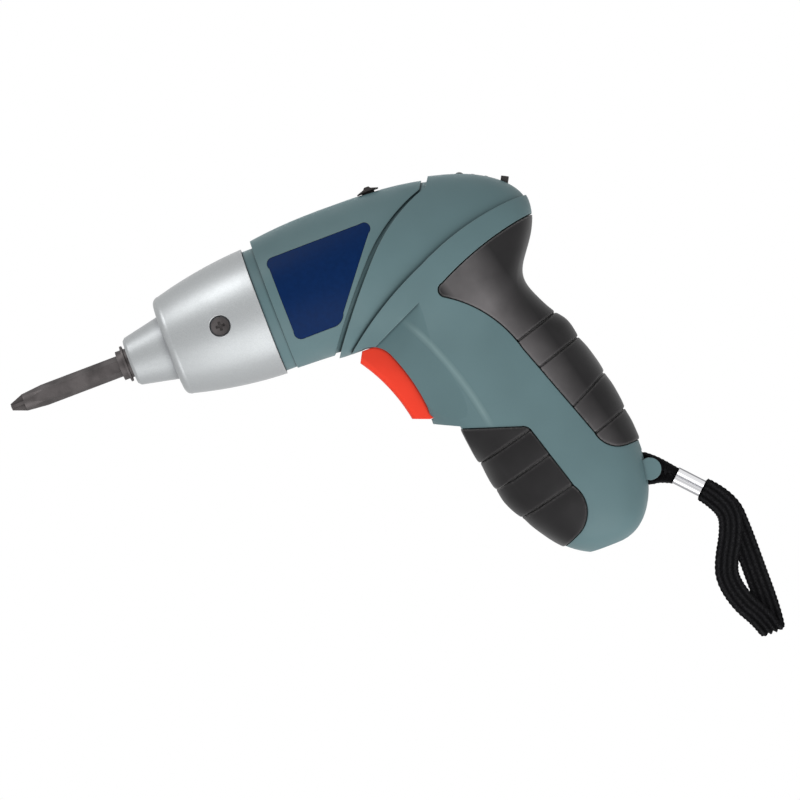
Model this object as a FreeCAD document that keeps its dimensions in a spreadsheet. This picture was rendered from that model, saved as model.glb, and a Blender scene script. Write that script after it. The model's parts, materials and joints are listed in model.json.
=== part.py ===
import FreeCAD, Part
import math
import os
import re

import Sketcher
from FreeCAD import Placement, Rotation, Vector

# A small cordless screwdriver with a pistol handle: two moulded housing halves with rubber
# grips, a cast nose over a two-stage planetary gear case, a can motor, four battery cells in
# the handle, a sprung trigger, a direction slider, a battery test button and a wrist strap.
#
# Every piece is drawn in the drive frame and then set into the part's own frame.
# Drive frame: X along the drive axis, the nose joint at x = 0 and the bit towards -X, Z up.
# Part frame: its origin is the middle of the hand grip.

SIZES = {
    # middle of the hand grip, behind the nose joint and below the drive axis
    "grip_reach": 75.0,
    "axis_height": 60.0,
    # moulded housing: reach scales the side view, from the nose joint to the back of the grip
    "reach": 100.0,
    "barrel_half_width": 25.6,
    "handle_half_width": 19.5,
    "wall": 2.8,
    "front_step": 1.3,
    "rear_step": 0.9,
    "groove_width": 2.2,
    "groove_depth": 0.7,
    "band_hollow": 0.8,
    "band_slope": 1.1,
    "collar_lip": 0.5,
    "cheek_half_width": 11.6,
    "crease_half_width": 18.6,
    "front_wall": 5.0,
    "rib": 2.0,
    "rib_bite": 0.6,
    "overrun": 30.0,
    # clearances
    "fit_gap": 0.2,
    "running_gap": 0.06,
    "seam": 0.1,
    # rubber grips and the bare label
    "grip_depth": 1.8,
    "grip_proud": 0.25,
    "grip_gap": 0.35,
    "rib_slot": 0.8,
    "rib_slot_depth": 0.5,
    "label_thickness": 0.5,
    # cast nose
    "nose_length": 48.5,
    "nose_lip": 1.0,
    "nose_shoulder": 34.5,
    "nose_front_radius": 17.5,
    "nose_bulge_radius": 150.0,
    "shoulder_round": 2.5,
    "neck_back_radius": 11.3,
    "neck_front_radius": 8.5,
    "neck_chamfer": 0.9,
    "nose_screw_place": 15.0,
    "nose_screw_recess": 3.6,
    "nose_screw_seat": 18.0,
    "nose_screw_head": 3.1,
    "nose_screw_head_height": 1.7,
    "nose_screw_radius": 1.45,
    "nose_screw_tip": 13.6,
    "cross_width": 0.9,
    "cross_depth": 1.0,
    # gear case
    "case_radius": 15.6,
    "case_front": 25.2,
    "case_wall": 3.0,
    "case_bore": 13.3,
    "flange_thickness": 2.9,
    "flange_gap": 0.416,
    # planetary gears
    "tooth_module": 0.5,
    "sun_teeth": 9,
    "planet_teeth": 18,
    "planet_count": 3,
    "carrier_radius": 10.2,
    "planet_pin": 1.5,
    "ring_length": 18.0,
    "ring_back": 0.6,
    "stage_one_back": 2.2,
    "stage_one_length": 6.0,
    "stage_gap": 0.4,
    "carrier_thickness": 2.0,
    "stage_two_length": 7.0,
    "spindle_disc": 3.0,
    # spindle, its bush and the bit
    "spindle_radius": 5.1,
    "spindle_proud": 3.8,
    "bush_radius": 6.5,
    "bush_length": 10.0,
    "bush_recess": 0.5,
    "washer_radius": 9.0,
    "washer_thickness": 0.6,
    "ring_groove_radius": 4.4,
    "ring_lead": 1.1,
    "ring_thickness": 0.8,
    "ring_radius": 6.3,
    "bit_hex": 6.35,
    "socket_depth": 10.6,
    "magnet_radius": 2.4,
    "magnet_length": 2.0,
    "bit_length": 50.0,
    "bit_neck_length": 12.0,
    "bit_tip_length": 4.8,
    "bit_tip_base": 3.0,
    "bit_tip_radius": 1.15,
    "bit_blade": 1.1,
    "blade_count": 4,
    # motor
    "motor_radius": 13.85,
    "motor_length": 37.8,
    "motor_boss_radius": 5.0,
    "motor_boss_length": 2.2,
    "can_wall": 1.1,
    "shaft_radius": 1.15,
    "armature_radius": 8.6,
    "armature_length": 20.0,
    "armature_slot": 1.6,
    "pole_count": 5,
    "winding_radius": 7.6,
    "winding_length": 3.6,
    "commutator_radius": 3.0,
    "commutator_length": 3.2,
    "brush_length": 4.0,
    "brush_half_width": 1.2,
    "magnet_thickness": 3.2,
    "bell_thickness": 2.8,
    "terminal_reach": 5.0,
    "terminal_width": 2.8,
    "terminal_thickness": 0.6,
    "terminal_place": 7.0,
    "plate_thickness": 2.0,
    "motor_screw_count": 2,
    "motor_screw_place": 8.0,
    "motor_screw_radius": 1.2,
    "motor_screw_head": 2.3,
    "motor_screw_head_height": 1.3,
    "motor_screw_length": 4.4,
    # trigger and its switch
    "trigger_half_width": 8.5,
    "trigger_round": 2.0,
    "trigger_curve_radius": 60.0,
    "trigger_travel": 4.0,
    "stem_half_width": 2.0,
    "stem_length": 10.0,
    "switch_clearance": 0.6,
    "switch_length": 14.0,
    "switch_height": 17.5,
    "switch_width": 13.0,
    # direction slider and its switch
    "slider_travel": 1.8,
    "slider_half_length": 3.8,
    "slider_half_width": 4.6,
    "slider_peak": 1.5,
    "slider_neck_half": 2.2,
    "slider_plate": 1.2,
    "plate_clearance": 1.2,
    "slider_peg": 1.0,
    "direction_switch_height": 4.8,
    "switch_lift": 0.95,
    "direction_switch_half_length": 6.5,
    "direction_switch_half_width": 4.0,
    # battery test button, indicator lights and their board, on the slope of the back
    "slope_angle": 28.5,
    "light_pitch": 4.45,
    "light_radius": 1.5,
    "light_proud": 0.5,
    "light_dome": 1.9,
    "button_place": 10.9,
    "button_radius": 1.35,
    "button_proud": 1.2,
    "button_stem": 5.2,
    "button_flange": 0.8,
    "button_flange_radius": 2.2,
    "button_travel": 1.0,
    "board_thickness": 1.2,
    "board_half_width": 6.0,
    "board_front": 7.5,
    "board_back": 13.0,
    # battery
    "cell_radius": 7.1,
    "cell_length": 43.0,
    "cell_gap": 0.15,
    "battery_tilt": 13.0,
    "tab_thickness": 0.3,
    "tab_half_width": 3.0,
    "tab_half_length": 11.0,
    # charge socket in the base
    "jack_radius": 4.2,
    "jack_bore": 2.85,
    "jack_depth": 9.0,
    "jack_length": 11.5,
    "jack_pin": 1.0,
    "jack_wall": 3.0,
    # screws of the housing
    "screw_radius": 1.4,
    "screw_head_radius": 2.7,
    "screw_head_height": 2.0,
    "screw_head_depth": 9.0,
    "screw_reach": 9.0,
    "boss_radius": 3.2,
    # strap lug
    "lug_radius": 3.8,
    "lug_gap": 4.7,
    "lug_half_width": 8.0,
    "pin_radius": 1.3,
    "pin_cap": 1.2,
    "loop_back": 0.5,
    "loop_rise": 0.7,
    # braided strap and its ferrule
    "strap_width": 8.0,
    "strap_thickness": 2.6,
    "strand_offset": 1.75,
    "loop_radius": 4.5,
    "ferrule_half_width": 4.9,
    "ferrule_barrel": 3.1,
}

# Sections of the moulded body, front to base, as shares of reach: the inner end and the outer
# end of each section in the side view, then its width as a share of the half width named for
# that stretch, and how square its corners are.
HEAD_SHARES = [
    (0.040, -0.242, 0.040, 0.262, 0.985, 0.552),
    (0.140, -0.246, 0.180, 0.275, 1.000, 0.552),
    (0.225, -0.256, 0.360, 0.276, 0.992, 0.570),
    (0.270, -0.284, 0.560, 0.263, 0.965, 0.590),
    (0.302, -0.330, 0.740, 0.226, 0.930, 0.600),
    (0.324, -0.380, 0.885, 0.162, 0.890, 0.620),
    (0.342, -0.420, 0.973, 0.057, 0.850, 0.630),
    (0.358, -0.465, 0.938, -0.080, 0.808, 0.640),
]
HANDLE_SHARES = [
    (0.378, -0.520, 0.874, -0.195, 1.020, 0.650),
    (0.425, -0.600, 0.920, -0.355, 1.000, 0.660),
    (0.496, -0.710, 0.990, -0.540, 1.000, 0.660),
    (0.544, -0.880, 1.031, -0.785, 0.990, 0.660),
    (0.615, -1.030, 1.013, -1.015, 0.933, 0.660),
    (0.680, -1.113, 0.945, -1.123, 0.744, 0.660),
    (0.745, -1.157, 0.875, -1.157, 0.400, 0.620),
]

# Outlines in the side view, as shares of reach. A single point is reached by a straight line,
# a pair of points is an arc through the first one.
FIRST_LINE_SHARES = [
    (0.180, -0.245),
    ((0.300, -0.093), (0.420, 0.042)),
    ((0.540, 0.138), (0.660, 0.195)),
    (0.720, 0.290),
]
AHEAD_SHARES = FIRST_LINE_SHARES + [(0.720, 0.500), (-0.100, 0.500), (-0.100, -0.400), (0.180, -0.400)]
ABOVE_SHARES = [
    (0.225, -0.245),
    ((0.380, -0.136), (0.550, -0.050)),
    ((0.730, 0.019), (0.920, 0.052)),
    (1.200, 0.062),
    (1.200, 0.500),
    (-0.100, 0.500),
    (-0.100, -0.400),
    (0.210, -0.400),
]
FRONT_SHARES = [
    (0.262, -0.242),
    ((0.322, -0.256), (0.350, -0.290)),
    ((0.386, -0.395), (0.404, -0.500)),
    (0.402, -0.562),
    (0.486, -0.602),
    ((0.497, -0.700), (0.520, -0.820)),
    (0.400, -0.900),
    (0.000, -0.900),
    (0.000, -0.242),
]
REAR_GRIP_SHARES = [
    (1.200, -0.010),
    (0.960, -0.012),
    ((0.770, -0.056), (0.595, -0.128)),
    ((0.572, -0.152), (0.586, -0.178)),
    ((0.705, -0.290), (0.770, -0.430)),
    (0.895, -0.778),
    ((0.930, -0.838), (0.985, -0.858)),
    (1.200, -0.864),
]
REAR_SLOT_SHARES = [
    ((0.740, -0.413), (1.000, -0.335)),
    ((0.780, -0.520), (1.020, -0.445)),
    ((0.845, -0.684), (1.060, -0.580)),
    ((0.895, -0.788), (1.080, -0.728)),
]
FRONT_GRIP_SHARES = [
    (0.400, -0.580),
    (0.675, -0.672),
    ((0.694, -0.682), (0.704, -0.702)),
    (0.770, -0.920),
    ((0.786, -1.005), (0.735, -1.078)),
    (0.668, -1.112),
    (0.560, -1.130),
    (0.400, -0.950),
]
FRONT_SLOT_SHARES = [
    ((0.420, -0.768), (0.745, -0.686)),
    ((0.460, -0.868), (0.770, -0.788)),
    ((0.500, -0.985), (0.800, -0.912)),
]
LABEL_SHARES = [
    (0.090, 0.155),
    (0.410, 0.155),
    ((0.434, 0.147), (0.426, 0.115)),
    (0.252, -0.105),
    ((0.232, -0.131), (0.200, -0.138)),
    (0.095, -0.138),
    ((0.076, -0.128), (0.073, -0.105)),
    (0.072, 0.120),
    ((0.076, 0.149), (0.090, 0.155)),
]
CREASE_SHARES = [(0.440, -0.190), (0.580, -0.620)]
CHEEK_SHARES = [(0.330, -0.240), (0.415, -0.590)]
TRIGGER_FACE_SHARES = [(0.264, -0.246), (0.244, -0.282), (0.341, -0.520), (0.398, -0.542)]
BOSS_SHARES = [
    (0.140, 0.180),
    (0.140, -0.178),
    (0.800, 0.020),
    (0.585, -0.258),
    (0.720, -0.500),
    (0.915, -1.040),
]
CRADLE_SHARES = [0.165, 0.400]
TOOTH_TIP_SHARE = 0.10
TOOTH_ROOT_SHARE = 0.29
ADDENDUM_SHARE = 0.85
DEDENDUM_SHARE = 1.25
SLIDER_HILL_SHARES = [(-1.0, 0.0), (1.0, 0.0), (0.35, 0.55), (0.2, 1.0), (-0.2, 1.0), (-0.35, 0.55)]
MAGNET_ARC_SHARE = 0.39
BARREL_PITCH_SHARE = 0.45

# Strap routes, in the drive frame: points chosen along the middle of the braid.
FERRULE_TOP = (111.0, -101.6)
FERRULE_END = (117.6, -108.9)
BACK_STRAND = [
    (117.6, -108.9),
    (125.2, -117.3),
    (125.4, -131.0),
    (124.4, -147.0),
    (122.7, -156.0),
    (122.7, -160.0),
]
FRONT_STRAND = [
    (117.6, -108.9),
    (120.88, -112.53),
    (123.6, -119.8),
    (120.6, -127.6),
    (115.9, -134.8),
    (115.2, -145.5),
    (122.7, -156.7),
    (122.7, -160.0),
]
LUG_ROUTE = [
    (111.9, -100.5),
    (108.6, -96.2),
    (106.9, -91.7),
    (102.5, -90.4),
    (98.6, -93.2),
    (98.3, -97.6),
    (101.6, -100.6),
    (106.0, -100.9),
    (109.5, -102.1),
]
ARC_RUN_SHARE = 0.45
SHARP_JOIN = 2

# Places and sizes that follow the moulded body, the nose or the piece next to them.
FOLLOWING = {
    "collar_length": f"{HEAD_SHARES[0][0]} * reach",
    "collar_radius": f"{-HEAD_SHARES[0][1]} * reach - rear_step - front_step - collar_lip",
    "barrel_room": f"{HEAD_SHARES[0][4]} * barrel_half_width - rear_step - front_step - wall - band_hollow",
    "flange_radius": "barrel_room - flange_gap",
    "nose_back_radius": "collar_radius + nose_lip",
    "spindle_front": "nose_length + spindle_proud",
    "ring_place": "nose_length + ring_lead",
    "trigger_depth": "0.470 * reach",
    "stem_height": "0.400 * reach",
    "stem_end": "trigger_depth + stem_length",
    "switch_front": "trigger_depth + trigger_travel + switch_clearance",
    "switch_top": "stem_height - switch_height / 2",
    "slider_place": "0.474 * reach",
    "slider_base": "0.255 * reach",
    "direction_switch_top": "motor_radius + switch_lift + direction_switch_height",
    "slider_plate_top": "direction_switch_top + plate_clearance + slider_plate",
    "slope_place": "0.828 * reach",
    "slope_height": "0.181 * reach",
    "battery_place": "0.755 * reach",
    "battery_drop": "0.765 * reach",
    "jack_place": "0.820 * reach",
    "jack_bottom": "1.156 * reach",
    "lug_place": "1.033 * reach",
    "lug_drop": "0.963 * reach",
}
CELLS = SIZES | {alias: f"={rule}" for alias, rule in FOLLOWING.items()}

doc = FreeCAD.newDocument("electric_screwdriver")
sheet = doc.addObject("Spreadsheet::Sheet", "dim")
for row, (alias, content) in enumerate(CELLS.items(), start=1):
    sheet.set(f"A{row}", alias)
    sheet.setAlias(f"B{row}", alias)
    sheet.set(f"B{row}", str(content))
doc.recompute()


class Sizes:
    """The sheet's values by name, for shapes that no sketch or primitive gives."""

    def __getattr__(self, alias):
        return float(sheet.get(alias))


d = Sizes()
nodes = []
X_AXIS, Y_AXIS, Z_AXIS = Vector(1, 0, 0), Vector(0, 1, 0), Vector(0, 0, 1)
ORIGIN = Vector()


def formula(text):
    """A size formula with each alias written the way an expression names a cell."""

    def cell(match):
        word = match.group()
        return "dim." + word if word in CELLS else word

    return re.sub(r"[a-z]\w*", cell, text)


def value(text):
    return float(sheet.evalExpression(formula(text)))


def in_part_frame(local=None):
    frame = Placement(Vector(-d.grip_reach, 0, d.axis_height), Rotation())
    return frame.multiply(local) if local else frame


def keep(piece, local=None):
    """Set a finished piece into the part's frame and list it as a node of its own."""
    piece.Placement = in_part_frame(local)
    nodes.append(piece)
    return piece


def keep_shape(label, shape):
    feature = doc.addObject("Part::Feature", label)
    feature.Shape = shape
    return keep(feature, shape.Placement)


# Sketched pieces


def new_body(label):
    return doc.addObject("PartDesign::Body", label)


def sketch_on(body, name, role, offset="0"):
    sketch = body.newObject("Sketcher::SketchObject", name)
    plane = next(plane for plane in body.Origin.OriginFeatures if plane.Role == role)
    sketch.AttachmentSupport = [(plane, "")]
    sketch.MapMode = "FlatFace"
    sketch.setExpression("AttachmentOffset.Base.z", formula(offset))
    return sketch


def hold(sketch, kind, geometry, point, text):
    """Fix one coordinate of a sketch point to a formula."""
    datum = value(text)
    index = sketch.addConstraint(Sketcher.Constraint(kind, -1, 1, geometry, point, datum))
    sketch.setExpression(f"Constraints[{index}]", formula(text))


def arc_between(start, end, radius):
    """The arc that bulges to the left of the way from start to end, or to the right if negative."""
    chord = end.sub(start)
    left = Vector(-chord.y, chord.x, 0).normalize()
    rise = math.sqrt(radius**2 - chord.Length**2 / 4)
    centre = start + chord * 0.5 - left * math.copysign(rise, radius)
    first, last = (end, start) if radius > 0 else (start, end)
    angles = [math.atan2(p.y - centre.y, p.x - centre.x) for p in (first, last)]
    return Part.ArcOfCircle(Part.Circle(centre, Z_AXIS, abs(radius)), *angles)


def outline(sketch, points):
    """A closed outline through points given as formulas; a third formula makes the next side an arc."""
    places = [Vector(value(p[0]), value(p[1]), 0) for p in points]
    ends = []
    for index, point in enumerate(points):
        start, end = places[index], places[(index + 1) % len(points)]
        if len(point) == 2:
            edge = sketch.addGeometry(Part.LineSegment(start, end))
            ends.append((edge, 1, 2))
            continue
        radius = value(point[2])
        edge = sketch.addGeometry(arc_between(start, end, radius))
        ends.append((edge, 2, 1) if radius > 0 else (edge, 1, 2))
        rule = sketch.addConstraint(Sketcher.Constraint("Radius", edge, abs(radius)))
        sketch.setExpression(f"Constraints[{rule}]", formula(f"abs({point[2]})"))
    for index, (edge, first, last) in enumerate(ends):
        following, entry, _ = ends[(index + 1) % len(ends)]
        sketch.addConstraint(Sketcher.Constraint("Coincident", edge, last, following, entry))
    for (edge, first, _), point in zip(ends, points):
        hold(sketch, "DistanceX", edge, first, point[0])
        hold(sketch, "DistanceY", edge, first, point[1])


def circles(sketch, rounds):
    """Circles given by formulas: across, up and radius."""
    for across, up, radius in rounds:
        middle = Vector(value(across), value(up), 0)
        edge = sketch.addGeometry(Part.Circle(middle, Z_AXIS, value(radius)))
        rule = sketch.addConstraint(Sketcher.Constraint("Radius", edge, value(radius)))
        sketch.setExpression(f"Constraints[{rule}]", formula(radius))
        hold(sketch, "DistanceX", edge, 3, across)
        hold(sketch, "DistanceY", edge, 3, up)


def add_pad(body, sketch, length, kind="PartDesign::Pad", both_ways=False, backwards=False):
    """A pad or pocket of a sketch, which has to change the body's volume."""
    before = body.Shape.Volume if body.Tip else 0
    pad = body.newObject(kind, sketch.Name + "_run")
    pad.Profile = sketch
    pad.setExpression("Length", formula(length))
    pad.SideType = "Symmetric" if both_ways else "One side"
    pad.Reversed = backwards
    doc.recompute()
    if math.isclose(before, body.Shape.Volume, rel_tol=1e-6):
        raise RuntimeError(f"{sketch.Label} changes nothing")
    return pad


def add_pocket(body, sketch, length, both_ways=False, backwards=False):
    return add_pad(body, sketch, length, "PartDesign::Pocket", both_ways, backwards)


def add_polar(body, feature, sketch, count):
    ring = body.newObject("PartDesign::PolarPattern", feature.Name + "_ring")
    ring.Originals = [feature]
    ring.Axis = (sketch, ["N_Axis"])
    ring.Angle = 360
    ring.setExpression("Occurrences", formula(count))
    body.Tip = ring
    doc.recompute()


def turned(label, profile):
    """A piece turned about the drive axis, from its half profile of places along it and radii."""
    body = new_body(label)
    sketch = sketch_on(body, label + "_profile", "XZ_Plane")
    outline(sketch, profile)
    spin = body.newObject("PartDesign::Revolution", label + "_spin")
    spin.Profile = sketch
    spin.ReferenceAxis = (sketch, ["H_Axis"])
    spin.Angle = 360
    doc.recompute()
    return body


def ring_profile(back, front, inner, outer):
    return [(back, inner), (back, outer), (front, outer), (front, inner)]


def box_profile(left, right, bottom, top):
    return [(left, bottom), (right, bottom), (right, top), (left, top)]


def slab(label, layers):
    """A piece padded both ways from the middle plane: side-view outlines, each with its width."""
    body = new_body(label)
    for number, (profile, width) in enumerate(layers, start=1):
        sketch = sketch_on(body, f"{label}_side_{number}", "XZ_Plane")
        outline(sketch, profile)
        add_pad(body, sketch, width, both_ways=True)
    return body


# Side-view solids


def side_point(share):
    return Vector(share[0] * d.reach, 0, share[1] * d.reach)


def side_wire(shares):
    edges = []
    here = side_point(shares[0])
    for leg in shares[1:] + shares[:1]:
        if isinstance(leg[0], tuple):
            through, there = map(side_point, leg)
            edges.append(Part.Arc(here, through, there).toShape())
        else:
            there = side_point(leg)
            if there != here:
                edges.append(Part.LineSegment(here, there).toShape())
        here = there
    return Part.Wire(edges)


def prism(wire, half_depth=None):
    """A side-view outline carried the same way to both sides of the middle plane."""
    depth = half_depth or d.overrun
    face = Part.Face(wire)
    face.translate(Y_AXIS * -depth)
    return face.extrude(Y_AXIS * (2 * depth))


def side_box(left, right, bottom, top, half_depth):
    return Part.makeBox(right - left, 2 * half_depth, top - bottom, Vector(left, -half_depth, bottom))


def cross_rod(x, z, radius, start, end):
    return Part.makeCylinder(radius, end - start, Vector(x, start, z), Y_AXIS)


def axial_rod(radius, back, front):
    return Part.makeCylinder(radius, back - front, Vector(front, 0, 0), X_AXIS)


# Moulded body


def section_poles(station, half_width, inset, hollow):
    """Poles of one left half section: two quarter curves from the outer end to the inner end."""
    inner, outer = side_point(station[:2]), side_point(station[2:4])
    along = outer.sub(inner)
    half_length = along.Length / 2 - inset
    along.normalize()
    middle = (inner + outer) * 0.5
    width = half_width * station[4] - inset - hollow
    square = station[5]
    pairs = [(1, 0), (1, square), (square, 1), (0, 1), (-square, 1), (-1, square), (-1, 0)]
    return [middle + along * (half_length * a) - Y_AXIS * (width * b) for a, b in pairs]


def skin(inset, hollow=0):
    """The left half of the moulded body, drawn in by an inset all over and by a hollow at the sides."""
    rows = [section_poles(station, d.barrel_half_width, inset, hollow) for station in HEAD_SHARES]
    rows += [section_poles(station, d.handle_half_width, inset, hollow) for station in HANDLE_SHARES]
    places = [0.0]
    for row, following in zip(rows, rows[1:]):
        steps = [a.distanceToPoint(b) for a, b in ((row[0], following[0]), (row[-1], following[-1]))]
        places.append(places[-1] + sum(steps) / 2)
    runs = []
    for column in zip(*rows):
        run = Part.BSplineCurve()
        run.interpolate(Points=list(column), Parameters=places)
        runs.append(run)
    surface = Part.BSplineSurface()
    poles = [run.getPoles() for run in runs]
    knots, counts = runs[0].getKnots(), runs[0].getMultiplicities()
    surface.buildFromPolesMultsKnots(poles, [4, 3, 4], counts, [0, 1, 2], knots, False, False, 3, 3)
    front = Part.LineSegment(rows[0][0], rows[0][-1]).toShape()
    base = Part.LineSegment(rows[-1][0], rows[-1][-1]).toShape()
    rim = [surface.uIso(0).toShape(), base, surface.uIso(2).toShape(), front]
    ends = [[surface.vIso(places[0]).toShape(), front], [surface.vIso(places[-1]).toShape(), base]]
    wires = [Part.Wire(Part.sortEdges(edges)[0]) for edges in [rim] + ends]
    shell = Part.makeShell([surface.toShape()] + [Part.Face(wire) for wire in wires])
    shell.sewShape()
    solid = Part.Solid(shell)
    if solid.Volume < 0:
        solid.reverse()
    return solid


BAND_INSET = d.rear_step
FRONT_INSET = d.rear_step + d.front_step
CAVITY_INSET = FRONT_INSET + d.wall
BAND_FALL = side_point(ABOVE_SHARES[2][1]).sub(side_point(ABOVE_SHARES[0])).cross(Y_AXIS).normalize()
TILT = Rotation(Y_AXIS, -d.battery_tilt)
BATTERY = Placement(Vector(d.battery_place, 0, -d.battery_drop), TILT)
SLOPE = Placement(Vector(d.slope_place, 0, d.slope_height), Rotation(Y_AXIS, d.slope_angle))
LUG = (d.lug_place, -d.lug_drop)
LOOP_MIDDLE = (d.lug_place - d.loop_back, d.loop_rise - d.lug_drop)
PIN_END = d.lug_half_width - d.pin_cap
BOARD_DEPTH = d.button_stem + d.button_flange + d.button_travel + d.fit_gap


def placed(shape, place):
    moved = shape.copy()
    moved.Placement = place.multiply(moved.Placement)
    return moved


def cheek_trim():
    """What lies outside the flat cheek that runs from the crease in to the trigger's edge."""
    crease = [side_point(share) - Y_AXIS * d.crease_half_width for share in CREASE_SHARES]
    cheek = [side_point(share) - Y_AXIS * d.cheek_half_width for share in CHEEK_SHARES]
    slope = cheek[0] - crease[0]
    out = Vector(0, -d.overrun, 0)
    start, end = crease[0] - slope, cheek[0] + slope
    face = Part.Face(Part.makePolygon([start, end, end + out, start + out, start]))
    return face.extrude((crease[1] - crease[0]) * 2)


def front_trim():
    return prism(side_wire(FRONT_SHARES))


def outer_body():
    """The left half of the outer form: its levels, the sloped step, the groove and the cheek."""
    body = skin(0)
    above = prism(side_wire(ABOVE_SHARES))
    body = body.cut(above.cut(skin(BAND_INSET, d.band_hollow)))
    above.translate(BAND_FALL * d.band_slope)
    body = body.cut(above.cut(skin(BAND_INSET / 2, d.band_hollow / 2)))
    ahead = prism(side_wire(AHEAD_SHARES))
    body = body.cut(ahead.cut(skin(FRONT_INSET, d.band_hollow)))
    behind = ahead.copy()
    behind.translate(X_AXIS * -d.groove_width)
    body = body.cut(ahead.cut(behind).cut(skin(FRONT_INSET + d.groove_depth, d.band_hollow)))
    return body.cut([front_trim(), cheek_trim()])


def rooms():
    """Spaces that the housing leaves for the pieces inside it, the openings and the screw holes."""
    gap = d.fit_gap
    motor_back = d.collar_length + d.seam + d.flange_thickness + d.motor_length
    mouth_top, mouth_bottom = TRIGGER_FACE_SHARES[0][1] * d.reach, TRIGGER_FACE_SHARES[-1][1] * d.reach
    mouth_back = d.trigger_depth + d.trigger_travel + gap
    half = d.trigger_half_width + gap
    slide = d.slider_travel + gap
    pack_half = 2 * d.cell_radius + d.cell_gap + gap
    pack_long = d.cell_length / 2 + 2 * d.tab_thickness + gap
    pack = side_box(-pack_half, pack_half, -pack_long, pack_long, pack_half)
    pack = pack.makeFillet(d.cell_radius, [e for e in pack.Edges if e.Length > 2 * pack_long - gap])
    lights = [light_rod(number, d.light_radius + gap / 2, BOARD_DEPTH, d.overrun) for number in (-1, 0, 1)]
    button_foot = Vector(d.button_place, 0, -BOARD_DEPTH)
    button = Part.makeCylinder(d.button_radius + gap / 2, d.overrun + BOARD_DEPTH, button_foot)
    jack_foot = Vector(d.jack_place, 0, -d.jack_bottom)
    mouth_foot = jack_foot - Z_AXIS * d.overrun
    loop_room = d.loop_radius + d.strap_thickness / 2 + 2 * gap
    board = Part.makeBox(
        d.board_front + d.board_back + 2 * gap,
        2 * (d.board_half_width + gap),
        d.board_thickness + BOARD_DEPTH / 2,
        Vector(-d.board_front - gap, -d.board_half_width - gap, -BOARD_DEPTH - d.board_thickness),
    )
    return [
        axial_rod(d.case_radius + gap, d.collar_length + d.seam, -d.overrun),
        axial_rod(d.motor_radius + gap, motor_back, 0),
        side_box(0, mouth_back, mouth_bottom - gap, mouth_top + gap, half),
        side_box(
            d.switch_front - gap,
            d.switch_front + d.switch_length + gap,
            -d.switch_top - d.switch_height - gap,
            -d.switch_top + gap,
            d.switch_width / 2 + gap,
        ),
        side_box(
            d.slider_place - d.slider_neck_half - slide,
            d.slider_place + d.slider_neck_half + slide,
            d.slider_plate_top - d.slider_plate - gap,
            d.slider_base + d.overrun,
            d.slider_half_width - d.rib + gap,
        ),
        side_box(
            d.slider_place - d.direction_switch_half_length - gap,
            d.slider_place + d.direction_switch_half_length + gap,
            d.direction_switch_top - d.direction_switch_height - gap,
            d.slider_plate_top + gap,
            d.direction_switch_half_width + d.rib,
        ),
        placed(pack, BATTERY),
        placed(board, SLOPE),
        placed(button, SLOPE),
        Part.makeCylinder(d.jack_radius + gap, d.jack_length + gap, jack_foot),
        Part.makeCylinder(d.jack_radius - d.rib / 2, d.overrun, mouth_foot),
        cross_rod(*LOOP_MIDDLE, loop_room, -d.lug_gap, d.lug_gap),
        cross_rod(*LUG, d.pin_radius + d.running_gap, -PIN_END - d.seam, PIN_END + d.seam),
    ] + [placed(light, SLOPE) for light in lights]


def light_rod(number, radius, below, above):
    return Part.makeCylinder(radius, below + above, Vector(number * d.light_pitch, 0, -below))


def boss_places():
    return [side_point(share) for share in BOSS_SHARES]


def ribs():
    """Ribs, ledges and screw bosses that stand in from the left half's wall."""
    flange_back = d.collar_length + d.seam + d.flange_thickness + d.seam
    wide, tall = d.overrun, d.overrun
    plates = [side_box(flange_back, flange_back + d.rib, -tall, tall, wide)]
    for share in CRADLE_SHARES:
        plates.append(side_box(share * d.reach, share * d.reach + d.rib, -tall, tall, wide))
    stem, switch_back = -d.stem_height, d.switch_front + d.switch_length
    plates.append(side_box(d.switch_front, switch_back, stem - d.rib, stem + d.rib, wide))
    for place in (-d.cell_length / 4, d.cell_length / 4):
        wall = Part.makeBox(2 * wide, 2 * wide, d.rib, Vector(-wide, -wide, place))
        plates.append(placed(wall, BATTERY))
    half = d.board_front / 2
    plates.append(placed(side_box(-half, half, -BOARD_DEPTH - d.rib, d.rib - BOARD_DEPTH, wide), SLOPE))
    jack_foot = Vector(d.jack_place, 0, -d.jack_bottom)
    plates.append(Part.makeCylinder(d.jack_radius + d.jack_wall, d.jack_length, jack_foot))
    plates.append(cross_rod(*LOOP_MIDDLE, d.loop_radius + d.strap_thickness + d.wall, -wide, 0))
    plates += [cross_rod(place.x, place.z, d.boss_radius, -wide, 0) for place in boss_places()]
    bite = skin(CAVITY_INSET - d.rib_bite, d.band_hollow)
    return [plate.common(bite) for plate in plates]


def grip_zone(shares, inset):
    """The side-view zone of a grip; the inset leaves the gap that shows round it."""
    wire = side_wire(shares)
    if inset:
        wire = wire.makeOffset2D(-inset, SHARP_JOIN)
    return prism(wire)


def housing_half():
    """The left half before what differs between the halves."""
    body = outer_body()
    cavity = skin(CAVITY_INSET, d.band_hollow)
    front_room = front_trim()
    front_room.translate(X_AXIS * d.front_wall)
    base = side_point(HANDLE_SHARES[-1][:2]).z + d.front_wall
    base_room = side_box(0, 2 * d.reach, base - d.overrun, base, d.overrun)
    body = body.cut(cavity.cut([front_room, base_room]))
    body = body.fuse(ribs() + [axial_rod(d.collar_radius, d.collar_length + d.seam, d.seam)])
    ear = cross_rod(*LUG, d.lug_radius, -d.lug_half_width, -d.lug_gap)
    body = body.fuse(ear)
    pocket = skin(d.grip_depth + d.fit_gap / 2)
    for shares in (REAR_GRIP_SHARES, FRONT_GRIP_SHARES):
        body = body.cut(grip_zone(shares, 0).cut(pocket))
    body = body.cut(rooms())
    right = side_box(-d.reach, 2 * d.reach, -2 * d.reach, d.reach, d.overrun)
    right.translate(Y_AXIS * d.overrun)
    return body.cut(right)


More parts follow.
